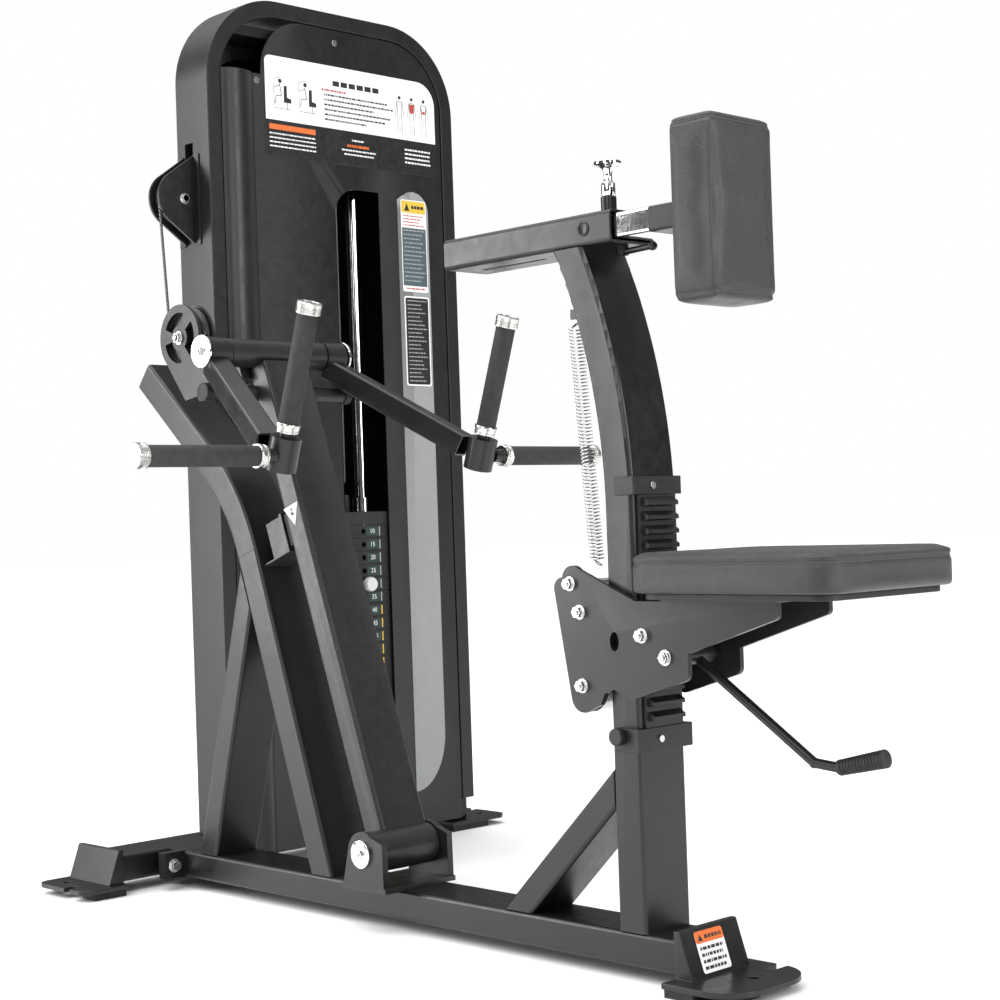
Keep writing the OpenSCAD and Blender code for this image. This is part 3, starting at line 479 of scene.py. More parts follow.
def plump(node, name, back_axis, inset, cap, corner, wrap=0.0):
    """A stuffed cushion blown up by cloth simulation inside a CAD pad's space. Its back, on the low side of
    back_axis, rests on a board, and wrap is how far it reaches down over that board's edge."""
    low, high = (np.array(v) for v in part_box(node))
    low[back_axis] -= wrap
    small_low, small_high = low + inset, high - inset
    small_low[back_axis] = low[back_axis]
    source = frame["nodes"][node]
    mesh = source.data.copy()
    obj = new_object(name, mesh)
    co = coords_of(mesh)
    was_low, was_high = co.min(axis=0), co.max(axis=0)
    put_coords(mesh, small_low + (co - was_low) / (was_high - was_low) * (small_high - small_low))
    bevel = obj.modifiers.new("bevel", "BEVEL")
    bevel.width = corner
    bevel.segments = 4
    bevel.limit_method = "ANGLE"
    remesh = obj.modifiers.new("remesh", "REMESH")
    remesh.mode = "VOXEL"
    remesh.voxel_size = 0.005
    applied(obj)
    rest = coords_of(obj.data)
    normals = np.array([v.normal[:] for v in obj.data.vertices])
    held = obj.vertex_groups.new(name="held")
    held.add([int(i) for i in np.where(rest[:, back_axis] < low[back_axis] + 0.004)[0]], 1.0, "REPLACE")
    cloth = obj.modifiers.new("cloth", "CLOTH")
    cloth.settings.quality = 6
    cloth.settings.mass = 0.3
    cloth.settings.tension_stiffness = 25
    cloth.settings.compression_stiffness = 25
    cloth.settings.bending_stiffness = 1.5
    cloth.settings.use_pressure = True
    cloth.settings.uniform_pressure_force = 4.0
    cloth.settings.vertex_group_mass = "held"
    cloth.settings.effector_weights.gravity = 0.0
    cloth.point_cache.frame_start = 1
    cloth.point_cache.frame_end = 20
    for step in range(1, 21):
        scene.frame_set(step)
    applied(obj)
    scene.frame_set(1)
    co = swollen(coords_of(obj.data), rest, normals, cap)
    floor_of = low - 0.004
    floor_of[back_axis] = low[back_axis]
    put_coords(obj.data, np.clip(co, floor_of, high + 0.004))
    smooth = obj.modifiers.new("smooth", "SMOOTH")
    smooth.factor = 0.5
    smooth.iterations = 4
    sub = obj.modifiers.new("sub", "SUBSURF")
    sub.levels = 1
    applied(obj)
    obj.data.materials.clear()
    obj.data.materials.append(MATERIALS["vinyl"])
    obj.data.polygons.foreach_set("use_smooth", [True] * len(obj.data.polygons))
    return obj


def outline_at(obj, axis, level, step):
    """Evenly spaced points where the plane axis = level cuts the piece, and the outward direction at each."""
    bm = bmesh.new()
    bm.from_mesh(obj.data)
    normal = [0, 0, 0]
    normal[axis] = 1
    point = [0, 0, 0]
    point[axis] = level
    cut = bmesh.ops.bisect_plane(bm, geom=bm.verts[:] + bm.edges[:] + bm.faces[:], plane_co=point,
                                 plane_no=normal,
                                 clear_inner=False, clear_outer=False)["geom_cut"]
    points = np.array([v.co[:] for v in cut if isinstance(v, bmesh.types.BMVert)])
    bm.free()
    flat = [a for a in range(3) if a != axis]
    centre = points.mean(0)
    angle = np.arctan2(points[:, flat[1]] - centre[flat[1]], points[:, flat[0]] - centre[flat[0]])
    points = points[np.argsort(angle)]
    loop = np.vstack([points, points[:1]])
    along = np.concatenate([[0], np.cumsum(np.linalg.norm(np.diff(loop, axis=0), axis=1))])
    count = int(along[-1] / step)
    places = np.linspace(0, along[-1], count, endpoint=False)
    even = np.stack([np.interp(places, along, loop[:, i]) for i in range(3)], 1)
    for _ in range(3):
        even = 0.5 * even + 0.25 * (np.roll(even, 1, 0) + np.roll(even, -1, 0))
    tangent = np.roll(even, -1, 0) - np.roll(even, 1, 0)
    out = np.zeros_like(even)
    out[:, flat[0]] = tangent[:, flat[1]]
    out[:, flat[1]] = -tangent[:, flat[0]]
    out /= np.maximum(np.linalg.norm(out, axis=1), 1e-9)[:, None]
    return even, out


def press_groove(obj, axis, level, depth, width):
    """Draws the skin in along a sewn line."""
    co = coords_of(obj.data)
    centre = co.mean(0)
    pull = depth * np.exp(-((co[:, axis] - level) / width) ** 2)
    side = co - centre
    side[:, axis] = 0
    reach = np.linalg.norm(side, axis=1)
    near_edge = np.clip((reach - 0.4 * reach.max()) / (0.3 * reach.max()), 0, 1)
    put_coords(obj.data, co - side / np.maximum(reach, 1e-6)[:, None] * (pull * near_edge)[:, None])


def tube_along(name, points, radius, material, closed=False, sides=8):
    curve = bpy.data.curves.new(name, "CURVE")
    curve.dimensions = "3D"
    curve.bevel_depth = radius
    curve.bevel_resolution = max(1, sides // 4)
    curve.use_fill_caps = not closed
    spline = curve.splines.new("POLY")
    spline.points.add(len(points) - 1)
    for p, q in zip(spline.points, points):
        p.co = (*q, 1.0)
    spline.use_cyclic_u = closed
    obj = bpy.data.objects.new(name, curve)
    scene.collection.objects.link(obj)
    graph = bpy.context.evaluated_depsgraph_get()
    mesh = bpy.data.meshes.new_from_object(obj.evaluated_get(graph))
    bpy.data.objects.remove(obj)
    mesh.polygons.foreach_set("use_smooth", [True] * len(mesh.polygons))
    return new_object(name, mesh, material)


def sewn_line(pad, name, axis, level):
    """A welt seam with its row of stitches."""
    press_groove(pad, axis, level, 0.0022, 0.0032)
    loop, out = outline_at(pad, axis, level, 0.0022)
    seam = tube_along(name + "_seam", loop + out * 0.0002, 0.0007, MATERIALS["thread"], closed=True)
    shift = [0.0, 0.0, 0.0]
    shift[axis] = 0.0038
    row, out = outline_at(pad, axis, level + shift[axis], 0.0032)
    bm = bmesh.new()
    for i in range(0, len(row) - 1, 2):
        a, b = row[i] + out[i] * 0.0003, row[i] * 0.25 + row[i + 1] * 0.75 + out[i] * 0.0003
        add_stitch(bm, Vector(a), Vector(b), 0.0005)
    stitches = from_bmesh(name + "_stitches", bm, MATERIALS["thread"])
    return seam, stitches


def add_stitch(bm, a, b, radius):
    along = b - a
    if along.length < 1e-5:
        return
    turn = along.to_track_quat("Z", "Y").to_matrix().to_4x4()
    place = Matrix.Translation((a + b) / 2) @ turn @ Matrix.Diagonal((radius, radius, along.length / 2, 1))
    bmesh.ops.create_icosphere(bm, subdivisions=1, radius=1.0, matrix=place)


# ---------------------------------------------------------------- turned parts, fasteners and sheets
def frame_along(axis):
    """A matrix whose Z runs along axis."""
    return Vector(axis).to_track_quat("Z", "Y").to_matrix().to_4x4()


def lathe(bm, profile, base, axis, sides=40):
    """Adds a turned solid. The profile is (radius, height) pairs in millimetres, up the axis from base."""
    place = Matrix.Translation(base) @ frame_along(axis)
    rings = []
    for radius, height in profile:
        if radius < 0.01:
            rings.append([bm.verts.new(place @ Vector((0, 0, height * MM)))])
        else:
            turn = [2 * math.pi * i / sides for i in range(sides)]
            rings.append([bm.verts.new(place @ Vector((radius * MM * math.cos(t), radius * MM * math.sin(t),
                                                       height * MM))) for t in turn])
    for low, high in zip(rings, rings[1:]):
        for i in range(sides):
            j = (i + 1) % sides
            corners = [low[i % len(low)], low[j % len(low)], high[j % len(high)], high[i % len(high)]]
            corners = list(dict.fromkeys(corners))
            if len(corners) > 2:
                bm.faces.new(corners)


def chamfered(radius, length, edge=0.8):
    """Profile of a plain bar with broken edges."""
    return [(0, 0), (radius - edge, 0), (radius, edge), (radius, length - edge), (radius - edge, length),
            (0, length)]


def turned(name, slot, body, items, *nodes, material=None, sides=40):
    """One piece made of several turned solids: items are (profile, base, axis)."""
    bm = bmesh.new()
    for profile, base, axis in items:
        lathe(bm, profile, base, axis, sides)
    obj = from_bmesh(name, bm, MATERIALS[material or slot])
    sharp = obj.modifiers.new("sharp", "EDGE_SPLIT")
    sharp.split_angle = math.radians(38)
    applied(obj)
    return finish_piece(obj, body, slot, *nodes)


def nut(size, height):
    """Hexagon profile: drawn with six sides by hex_pieces."""
    return [(0, 0), (size * 0.93, 0), (size, height * 0.15), (size, height * 0.85), (size * 0.93, height),
            (0, height)]


def hex_pieces(name, slot, body, items, material=None):
    return turned(name, slot, body, items, material=material, sides=6)


def solid_sheet(name, outlines, to_world, thick, slot, material, body="frame"):
    """Thin printed shapes: outlines are lists of (u, v); to_world(u, v, height) places them."""
    bm = bmesh.new()
    for outline in outlines:
        low = [bm.verts.new(to_world(u, v, 0.0)) for u, v in outline]
        high = [bm.verts.new(to_world(u, v, thick)) for u, v in outline]
        bm.faces.new(list(reversed(low)))
        bm.faces.new(high)
        for i in range(len(outline)):
            j = (i + 1) % len(outline)
            bm.faces.new((low[i], low[j], high[j], high[i]))
    bmesh.ops.recalc_face_normals(bm, faces=bm.faces)
    return finish_piece(from_bmesh(name, bm, MATERIALS[material], smooth=False), body, slot)


def rect(u0, v0, u1, v1):
    return [(u0, v0), (u1, v0), (u1, v1), (u0, v1)]


def rounded(u0, v0, u1, v1, r):
    """A rectangle with round corners."""
    steps = 6
    out = []
    for cu, cv, start in ((u1 - r, v0 + r, -90), (u1 - r, v1 - r, 0), (u0 + r, v1 - r, 90),
                          (u0 + r, v0 + r, 180)):
        for k in range(steps + 1):
            t = math.radians(start + 90 * k / steps)
            out.append((cu + r * math.cos(t), cv + r * math.sin(t)))
    return out


def circle(u, v, r):
    steps = 20
    return [(u + r * math.cos(2 * math.pi * k / steps), v + r * math.sin(2 * math.pi * k / steps))
            for k in range(steps)]


def bar(u0, v0, u1, v1, w):
    """A stroke from one point to another."""
    du, dv = u1 - u0, v1 - v0
    n = math.hypot(du, dv) or 1.0
    a, b = -dv / n * w / 2, du / n * w / 2
    return [(u0 + a, v0 + b), (u0 - a, v0 - b), (u1 - a, v1 - b), (u1 + a, v1 + b)]


def mock_words(u0, v0, u1, height):
    """A line of small blocks that reads as a line of print from far off, with no letters in it."""
    out, u = [], u0
    while u < u1 - 1:
        w = min(random.uniform(2.5, 9.0), u1 - u)
        out.append(rect(u, v0, u + w, v0 + height))
        u += w + 1.6
    return out


# ---------------------------------------------------------------- the handles
def add_handles():
    up = (math.sin(GRIP_LEAN), 0, math.cos(GRIP_LEAN))
    joint = (283.3, 204.0, -180.4)
    rubber, collars = [], []
    for side in (-1, 1):
        def up_at(h, s=side):
            return on_handles(joint[0] + h * up[0], s * joint[1], joint[2] + h * up[2])
        out = (0, side, 0)
        across = lambda y, s=side: on_handles(joint[0] + 6, s * y, joint[2] - 4)
        r = 16.0
        grip = lambda length: [(r - 3, 0), (r - 0.6, 0), (r, 1.2), (r, length - 1.2), (r - 0.6, length),
                               (r - 3, length)]
        rubber += [(grip(166), up_at(48), up), (grip(193), across(260), out)]
        ring = [(11, 0), (16.6, 0), (17.4, 0.8), (17.4, 3), (16.4, 3.6), (16.4, 4.8), (17.6, 5.4),
                (17.6, 9), (18.5, 10.4),
                (18.5, 13.6), (17.6, 15), (11, 15)]
        collars += [(ring, up_at(33), up), ([(q, h - 1) for q, h in ring], across(246), out)]
        def cap(length):
            grooves = [(15, 0), (18.2, 0), (19, 0.8)]
            for k in range(3):
                g = 3.2 + k * 2.7
                grooves += [(19, g), (17.9, g + 0.6), (17.9, g + 1.3), (19, g + 1.9)]
            return grooves + [(19, length - 1.6), (17.6, length - 0.3), (15.6, length - 0.3),
                              (15.2, length - 1.1),
                              (0, length - 1.1)]
        collars += [(cap(18), up_at(214), up), (cap(19), across(453), out)]
    turned("grip_rubbers", "grip_rubber", "handles", rubber, "hand_grips", sides=48)
    turned("grip_metal", "aluminium", "handles", collars, "grip_collars", sides=48)
    discs, nuts = [], []
    for side in (-1, 1):
        out = (0, side, 0)
        discs.append(([(0, 144), (26.2, 144), (27, 144.8), (27, 147.6), (25.4, 149), (14, 149),
                       (13.2, 150.2), (0, 150.2)],
                      on_handles(0, 0, 0), out))
        discs.append((chamfered(4.2, 3.2, 0.6), on_handles(0, side * 154.6, 0), out))
        nuts.append((nut(8.2, 5.2), on_handles(0, side * 150.1, 0), out))
    turned("pivot_discs", "chrome", "handles", discs, "handle_caps")
    hex_pieces("pivot_nuts", "chrome", "handles", nuts, material="zinc")


# ---------------------------------------------------------------- fasteners
def add_fasteners():
    tips, nuts = [], []
    for x, z in ((-58, 537), (-41, 498), (-40, 397), (71, 468)):
        for side in (-1, 1):
            tips.append((chamfered(4.6, 3.0, 0.7), at(x, side * 66.6, z), (0, side, 0)))
    turned("carriage_tips", "zinc", "carriage", tips)
    discs = []
    for side in (-1, 1):
        out = (0, side, 0)
        discs.append(([(6.2, 0), (10.6, 0), (10.6, 1.6), (6.2, 1.6)], at(111, side * 58.2, 440), out))
        nuts.append((nut(8.0, 6.0), at(111, side * 59.7, 440), out))
        discs.append((chamfered(4.4, 2.6, 0.6), at(111, side * 65.5, 440), out))
    turned("release_washers", "zinc", "carriage", discs)
    hex_pieces("release_nuts", "zinc", "carriage", nuts)
    ends = []
    for side, reach in ((-1, 85), (1, 60)):
        out = (0, side, 0)
        ends.append(([(0, 0), (21, 0), (21.6, 0.8), (21.6, 4.2), (20, 5), (12.5, 5), (12, 5.8), (0, 5.8)],
                     at(HINGE.x, side * (reach + 0.1), HINGE.z), out))
        ends.append((chamfered(4.4, 2.4, 0.6), at(HINGE.x, side * (reach + 10), HINGE.z), out))
    turned("hinge_discs", "chrome", "frame", ends)
    turned("axle_tips", "zinc", "lever",
           [([(6, 0), (11.5, 0), (11.5, 1.6), (6, 1.6)], on_lever(-172, -63.2, 950), (0, -1, 0)),
            (chamfered(4.0, 3.0), on_lever(-172, -71, 950), (0, -1, 0))])
    hex_pieces("axle_nuts", "zinc", "lever", [(nut(9.2, 6.4), on_lever(-172, -64.8, 950), (0, -1, 0))])
    turned("side_axle_washer", "zinc", "frame",
           [([(6, 0), (10, 0), (10, 1.4), (6, 1.4)], at(-1100.8, 48, 1234), (1, 0, 0))])
    hex_pieces("side_axle_nut", "zinc", "frame", [(nut(8.4, 5.4), at(-1099.4, 48, 1234), (1, 0, 0))])
    # plug in the sleeve's side, seen as a bright ring round a dished centre
    ring = [(6.0, 0), (8.6, 0.0), (10.2, 0.4), (10.2, 1.0), (9.4, 1.5), (8.6, 1.0), (7.0, 0.2), (0, 0.1)]
    turned("sleeve_plug", "frame_paint", "frame", [(ring, at(-21, -46.05, 1023), (0, -1, 0))],
           material="frame_paint")
    # side knob of the lower rack clamp
    knob = [(0, 0), (11, 0), (12, 1), (12, 10), (10.6, 11.5), (0, 11.5)]
    turned("clamp_knob", "plastic", "frame", [(knob, at(24, -56.0, 331), (0, -1, 0))], sides=12)


def add_pin():
    neck = [(0, -5), (6, -5), (6, 26.2), (9.2, 26.5), (9.8, 27.4), (9.8, 44), (9.2, 45), (7.2, 45.6),
            (6.2, 48),
            (5.6, 54), (6.2, 60), (8, 65), (12, 68), (17.5, 69.6), (19, 70.6), (19, 74), (18.2, 75),
            (9, 75.2), (8, 76),
            (8, 77.4), (7.2, 78), (0, 78)]
    turned("locking_pin_piece", "chrome", "locking_pin", [(neck, at(-14, 0, 1045), (0, 0, 1))], "pop_pin",
           sides=48)
    # the tube's front section is dark
    bm = bmesh.new()
    outline = rounded(-39.3, -17.3, 39.3, 17.3, 5.2)
    for k in (0, 1):
        for y, z in outline:
            bm.verts.new(at(91 + 56.5 * k, y, 1022.5 + z))
    bm.verts.ensure_lookup_table()
    n = len(outline)
    for i in range(n):
        j = (i + 1) % n
        bm.faces.new((bm.verts[i], bm.verts[j], bm.verts[n + j], bm.verts[n + i]))
    bmesh.ops.recalc_face_normals(bm, faces=bm.faces)
    finish_piece(from_bmesh("tube_wrap", bm, MATERIALS["lever_paint"]), "pad", "chrome")


def add_selector():
    z = STACK_TOP - LIFTED_PLATES * PLATE_PITCH - PLATE_HALF
    turned("selector_shank", "plastic", "selector", [(chamfered(4.5, 69, 0.8), at(-1127, 416, z), (1, 0, 0))],
           "selector_pin", material="zinc")
    knob = [(0, 0), (9, 0), (10, 1), (10.5, 4), (12.8, 6), (14, 8.5), (14, 16), (12.6, 19), (9, 20), (0, 20)]
    turned("selector_knob", "plastic", "selector", [(knob, at(-1060, 416, z), (1, 0, 0))],
           material="knob_white")


def add_release_grip():
    start, end = at(340, 0, 305.4), at(411, 0, 322)
    profile, length = [(6.6, 0), (9.6, 0.3), (10.2, 1.5)], (end - start).length * 1000
    steps = 13
    for k in range(steps):
        h = 4 + (length - 9) * k / steps
        r = 10.2 + 1.6 * k / steps
        profile += [(r, h), (r, h + 2.4), (r - 0.9, h + 3.0), (r - 0.9, h + 4.2)]
    profile += [(11.9, length - 4), (11.6, length - 1.6), (9.5, length - 0.2), (0, length)]
    turned("release_grip_piece", "rubber", "release", [(profile, start, end - start)], "release_grip")


# ---------------------------------------------------------------- spring and cables
def add_spring():
    low, top = Vector(SPRING_LOW), Vector(SPRING_TOP)
    along = (top - low)
    length = along.length
    turn = frame_along(along)
    coil_r, wire = 9.3, 1.0
    coils, sides = 66, 18
    points = []
    start, stop = 9.0, length - 9.0
    for i in range(coils * sides + 1):
        t = i / (coils * sides)
        angle = 2 * math.pi * coils * t
        local = Vector((coil_r * math.cos(angle), coil_r * math.sin(angle), start + (stop - start) * t))
        points.append(low + turn @ local)
    def hook(end, reach):
        """A loop that turns in from the last coil to the spring's middle and out past its end."""
        out = []
        for k in range(1, 15):
            a = math.pi * 1.6 * k / 14
            local = Vector((coil_r * math.cos(a) * (1 - 0.2 * k / 14), 0.0, 0.0))
            local.z = end + reach * (1 - math.cos(a)) / 2
            local.y = coil_r * 0.3 * math.sin(a)
            out.append(low + turn @ local)
        return out
    path = list(reversed(hook(start, -9.0))) + points + hook(stop, 9.0)
    spring = tube_along("spring_coils", [at(*p) for p in path], wire * MM, MATERIALS["zinc"], sides=8)
    finish_piece(spring, "frame", "zinc", "seat_spring")
    return spring


def cable_object(name, points):
    return tube_along(name, points, 2.5 * MM, MATERIALS["cable_steel"], sides=12)


def add_cables():
    heights = np.linspace(CABLE_LOW, TOP_PULLEY[2], 60)
    top = cable_object("lift_cable", [at(*TOP_PULLEY[:2], z) for z in heights])
    finish_piece(top, "frame", "cable_steel", "cable_stack")
    low = (-1018.9, -46.0, 943.4)
    high = (-1118.0, 48.0 - 43.3, 1232.5)
    line = [at(*(Vector(high) * (1 - t) + Vector(low) * t)) for t in np.linspace(0, 1, 80)]
    run = cable_object("drive_cable", line)
    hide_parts("cable_lever")
    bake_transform(run)
    # ring of cable round the lever's pulley
    centre = Vector(lever_point(-172, -46, 950))
    reach = math.hypot(low[0] - centre.x, low[2] - centre.z)
    start = math.atan2(low[2] - centre.z, low[0] - centre.x)
    wrap = [at(centre.x + reach * math.cos(start + a), -46, centre.z + reach * math.sin(start + a))
            for a in np.linspace(0, math.radians(165), 50)]
    finish_piece(cable_object("drive_cable_wrap", wrap), "lever", "cable_steel")
    return top, run


# ---------------------------------------------------------------- printed sheets
def add_placard():
    """A pictogram board over the slot: people rowing, blocks of print, and figures with muscles in red."""
    def face(u, v, h):
        return at(PANEL_FACE + h, u, v)
    layers = {"ink_white": [], "ink_black": [], "ink_red": [], "ink_orange": []}
    # white field over the upper part, its top corners rounded with the board
    field = [(205, 1393), (631, 1393)]
    for centre_y, radius, start in ((585, 46, 0), (217, 12, 90)):
        for k in range(9):
            t = math.radians(start + 90 * k / 8)
            field.append((centre_y + radius * math.cos(t), 1514 - radius + radius * math.sin(t)))
    solid_sheet("placard_field", [field], face, 0.12, "placard_sheet", "ink_white")
    ink = layers["ink_black"]
    for u in (222, 282):      # two seated users
        ink.append([(u + 26, 1428), (u + 44, 1428), (u + 44, 1436), (u + 34, 1438), (u + 34, 1460),
                    (u + 27, 1460)])
        ink.append(circle(u + 18, 1468, 4.2))
        ink += [bar(u + 17, 1463, u + 21, 1441, 1.6), bar(u + 21, 1441, u + 8, 1439, 1.4),
                bar(u + 8, 1439, u + 6, 1424, 1.4),
                bar(u + 17, 1460, u + 4, 1455, 1.2), bar(u + 2, 1470, u + 4, 1420, 0.9),
                bar(u + 34, 1428, u + 34, 1416, 1.2),
                bar(u + 4, 1416, u + 44, 1416, 1.0), bar(u + 2, 1470, u + 20, 1476, 0.9)]
    ink += [rect(368 + 20 * k, 1476, 368 + 20 * k + 16, 1486) for k in range(6)]
    layers["ink_red"] += mock_words(340, 1464, 400, 4)
    for row, reach in enumerate((505, 520, 470, 512, 500, 450)):
        ink += mock_words(346, 1455 - row * 9.5, reach, 3.6)
    for k, u in enumerate((538, 570, 602)):        # three standing figures
        ink += [circle(u, 1476, 3.6), bar(u - 6, 1468, u + 6, 1468, 1.2), bar(u - 6, 1468, u - 5, 1440, 1.1),
                bar(u + 6, 1468, u + 5, 1440, 1.1), bar(u - 5, 1440, u - 6, 1404, 1.1),
                bar(u + 5, 1440, u + 6, 1404, 1.1),
                bar(u - 7, 1467, u - 11, 1440, 1.1), bar(u + 7, 1467, u + 11, 1440, 1.1),
                bar(u, 1438, u, 1408, 0.9)]
    layers["ink_red"] += [[(563, 1466), (577, 1466), (574, 1448), (566, 1448)],
                          bar(595, 1462, 598, 1450, 2.2),
                          bar(609, 1462, 606, 1450, 2.2), rect(599, 1450, 605, 1456)]
    layers["ink_orange"] += [rect(212, 1375, 322, 1385)] + mock_words(400, 1362, 455, 5)
    for row in range(4):
        layers["ink_white"] += mock_words(212, 1366 - row * 8, 322, 2.6)
        layers["ink_white"] += mock_words(548, 1372 - row * 8.5, 616, 3.4)
    for u, v, end in ((412, 1374, 442), (386, 1354, 472), (392, 1346, 466)):
        layers["ink_white"] += mock_words(u, v, end, 3)
    for material, outlines in layers.items():
        solid_sheet("placard_" + material, outlines, lambda u, v, h: face(u, v, h + 0.14), 0.1,
                    "placard_sheet", material)


def add_strip_labels():
    def face(u, v, h):
        return at(PANEL_FACE + h, u, v)
    sheet = lambda name, outlines, material, lift=0.0: solid_sheet(
        name, outlines, lambda u, v, h: face(u, v, h + lift), 0.1, "strip_plastic", material)
    sheet("strip_label_back", [rounded(532, 1089, 599, 1273, 4), rounded(534, 901, 600, 1080, 5)],
          "ink_white")
    sheet("strip_label_head", [rounded(534, 1247, 597, 1271, 3)], "ink_yellow", 0.12)
    sheet("strip_label_panel", [rect(534, 1101, 597, 1217)], "ink_slate", 0.12)
    sheet("strip_label_panel_low", [rounded(537, 904, 597, 1077, 4)], "shroud_paint", 0.12)
    sheet("strip_label_mark", [[(541, 1251), (555, 1251), (548, 1266)]] + mock_words(560, 1256, 592, 6),
          "ink_black", 0.24)
    red, pale, grey = [], [], []
    for row in range(4):
        red += mock_words(538, 1240 - row * 6.2, 592 - (row % 3) * 6, 2.2)
    red += mock_words(542, 1094, 590, 3)
    for row in range(13):
        pale += mock_words(538, 1211 - row * 8.4, 593 - (row * 7 % 5) * 3, 2.4)
    for row in range(21):
        grey += mock_words(542, 1070 - row * 8.0, 592 - (row * 5 % 7) * 3, 2.2)
    sheet("strip_label_red", red, "ink_red", 0.24)
    sheet("strip_label_lines", pale, "ink_grey", 0.24)
    sheet("strip_label_lines_low", grey, "ink_grey", 0.24)


def add_stickers():
    # triangle on the lever's side
    def lever_side(u, v, h):
        return on_lever(u, -46.05 - h, v)
    tri = lambda g: [(-30 + g, 577 - g * 0.6), (8 - g, 577 - g * 0.6), (-11, 543 + g * 1.1)]
    solid_sheet("lever_sticker", [tri(0)], lever_side, 0.12, "lever_paint", "ink_white", "lever")
    solid_sheet("lever_sticker_mark",
                [circle(-11, 570, 2.6), bar(-15, 566, -7, 560, 3.4), bar(-8, 566, -14, 559, 2.6)],
                lambda u, v, h: lever_side(u, v, h + 0.14), 0.1, "lever_paint", "ink_black", "lever")
    # notice on the front foot's sloping upright
    def slope(u, v, h):
        t = v / 65.5
        return at(139.5 - 21 * t + h * 0.95, u, 19.5 + 62 * t + h * 0.32)
    solid_sheet("foot_notice", [rounded(-33, 5, 24, 60, 4)], lambda u, v, h: slope(u, v, h + 0.05), 0.12,
                "frame_paint", "ink_white")
    solid_sheet("foot_notice_head", [rounded(-33, 44, 24, 60, 4)], lambda u, v, h: slope(u, v, h + 0.2),
                0.1, "frame_paint", "ink_orange")
    lines = [w for row in range(4) for w in mock_words(-28, 35 - row * 8.5, 19 - (row % 2) * 4, 4.2)]
    lines += [[(-28, 47), (-18, 47), (-23, 56)]] + mock_words(-14, 49, 20, 5)
    solid_sheet("foot_notice_lines", lines, lambda u, v, h: slope(u, v, h + 0.32), 0.08, "frame_paint",
                "ink_black")


def digits(name, words, u, v, height, face_x, body, slot):
    """Stack numbers, cut from the built-in sans face."""
    curve = bpy.data.curves.new(name, "FONT")
    curve.body = words
    curve.size = height * MM * 1.4
    curve.extrude = 0.00008
    curve.align_x = "CENTER"
    curve.align_y = "CENTER"
    text = bpy.data.objects.new(name, curve)
    scene.collection.objects.link(text)
    graph = bpy.context.evaluated_depsgraph_get()
    mesh = bpy.data.meshes.new_from_object(text.evaluated_get(graph))
    bpy.data.objects.remove(text)
    mesh.transform(Matrix.Translation(at(face_x, u, v)) @ Matrix(((0, 0, 1, 0), (1, 0, 0, 0), (0, 1, 0, 0),
                                                                  (0, 0, 0, 1))))
    mesh.materials.clear()
    return finish_piece(new_object(name, mesh, MATERIALS["ink_white"]), body, slot)


def add_stack_labels():
    """A number label and a paint mark on each plate, and bright collars where the rods enter the top one."""
    front = -1064.0
    collar = [(13.2, 0), (18.4, 0), (19.2, 0.8), (19.2, 27.6), (18.4, 28.4), (13.2, 28.4)]
    turned("rod_collars", "chrome", "stack", [(collar, at(-1118, y, STACK_TOP + 0.2), (0, 0, 1))
                                             for y in ROD_PLACES], sides=48)
    for body, first, last in (("stack", 1, LIFTED_PLATES), ("frame", LIFTED_PLATES + 1, 20)):
        back, ticks, yellow = [], [], []
        for i in range(first, last + 1):
            v = STACK_TOP - PLATE_HALF - PLATE_PITCH * i
            back.append(rounded(424, v - 8.5, 453, v + 8.5, 1.5))
            (yellow if i > LIFTED_PLATES + 1 else ticks).append(rect(455.5, v - 9, 458.5, v + 9))
            digits("stack_digits_%02d" % i, str(5 * i + 5), 438.5, v, 9, front + 0.2, body, "plate_iron")
        face = lambda u, v, h: at(front + 0.06 + h, u, v)
        solid_sheet(body + "_stack_labels", back, face, 0.1, "plate_iron", "ink_green", body)
        solid_sheet(body + "_stack_ticks", ticks, face, 0.1, "plate_iron", "ink_grey", body)
        if yellow:
            solid_sheet(body + "_stack_marks", yellow, face, 0.1, "plate_iron", "ink_yellow", body)


# ---------------------------------------------------------------- the whole machine
add_camera()
add_studio()

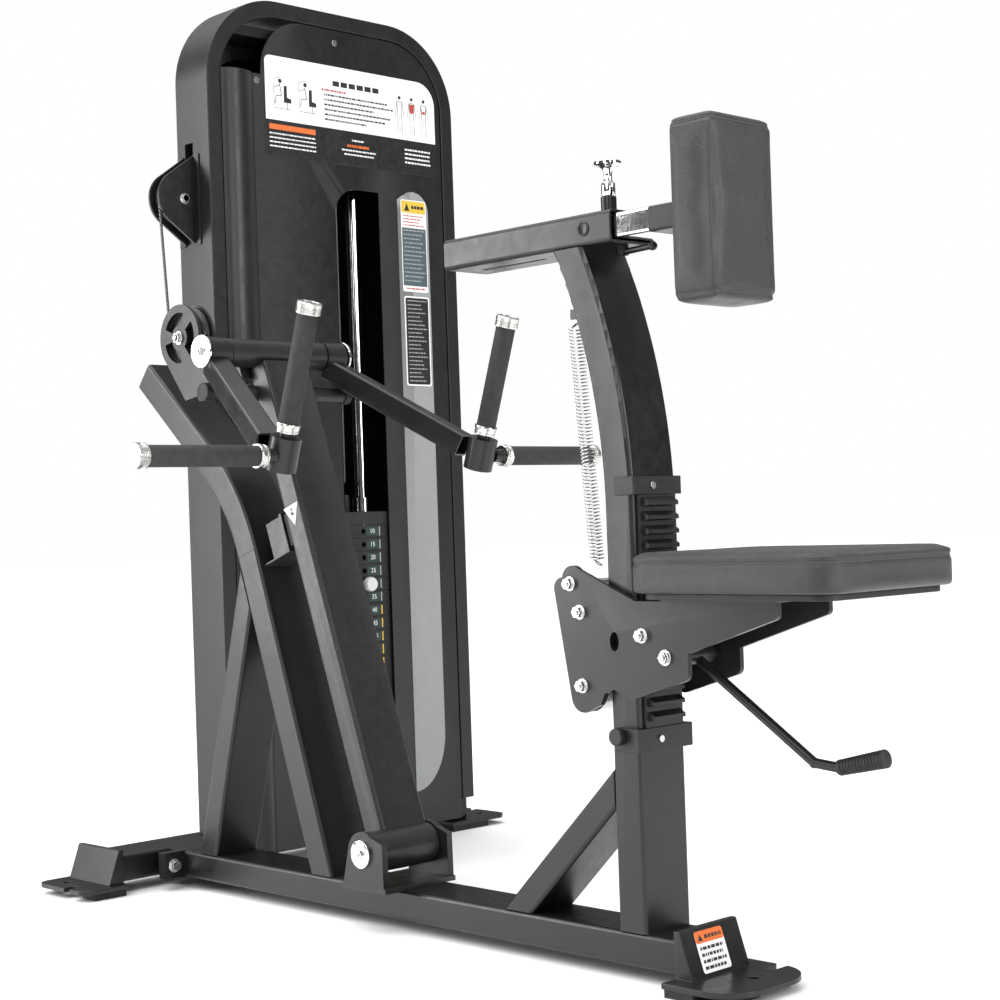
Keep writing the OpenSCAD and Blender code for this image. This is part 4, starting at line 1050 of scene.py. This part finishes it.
ROUNDED = {     # edge radius in millimetres for each CAD piece that keeps its own shape
    1.0: ["foot_pads"],
    1.6: ["main_beam", "rear_crossbeam", "rear_column", "rear_leg", "seat_post", "post_brace", "pad_sleeve",
          "lever_arm",
          "handle_arms", "stop_bumper", "tower_frame"],
    1.1: ["left_foot", "right_foot", "front_foot", "pivot_clevis", "stop_bracket", "top_beam",
          "side_bracket", "pulley_yoke",
          "carriage_plates", "seat_bracket", "rack_clamps", "seat_board", "chest_board", "release_lever",
          "lower_plates",
          "lifted_plates", "top_plate", "lever_hub", "stop_tube", "stop_rubbers", "clamp_lever"],
    0.7: ["front_shroud", "rear_shroud", "gear_rack", "lever_pulley", "side_pulley", "top_pulley",
          "handle_shaft",
          "carriage_bolts", "frame_bolts", "guide_rods", "stack_cushions", "pivot_shaft", "side_strip",
          "placard",
          "pad_tube", "cable_run"],
}
for width, nodes in ROUNDED.items():
    for name in nodes:
        soft_edged(name, width * MM)
add_handles()
add_fasteners()
add_pin()
add_selector()
add_release_grip()
spring = add_spring()
lift_cable, drive_cable = add_cables()
add_placard()
add_strip_labels()
add_stickers()
add_stack_labels()

seat = plump("seat_cushion", "seat_cushion_piece", 2, 0.0015, 0.005, 0.012)
seat_seams = sewn_line(seat, "seat", 2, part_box("seat_cushion")[1].z - 0.011)
chest = plump("chest_cushion", "chest_cushion_piece", 0, 0.0015, 0.005, 0.010, wrap=0.008)
low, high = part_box("chest_cushion")
chest_seams = []
for level in (low.z + 0.012, high.z - 0.012):
    chest_seams += sewn_line(chest, "chest_%d" % (level * 1000), 2, level)
finish_piece(seat, "carriage", "vinyl", "seat_cushion")
finish_piece(chest, "pad", "vinyl", "chest_cushion")
for piece in seat_seams:
    finish_piece(piece, "carriage", "vinyl")
for piece in chest_seams:
    finish_piece(piece, "pad", "vinyl")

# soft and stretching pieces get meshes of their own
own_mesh(spring)
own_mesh(lift_cable)

for name, node in frame["nodes"].items():
    node.data.materials.clear()
    node.data.materials.append(MATERIALS[SLOT_OF[name]])
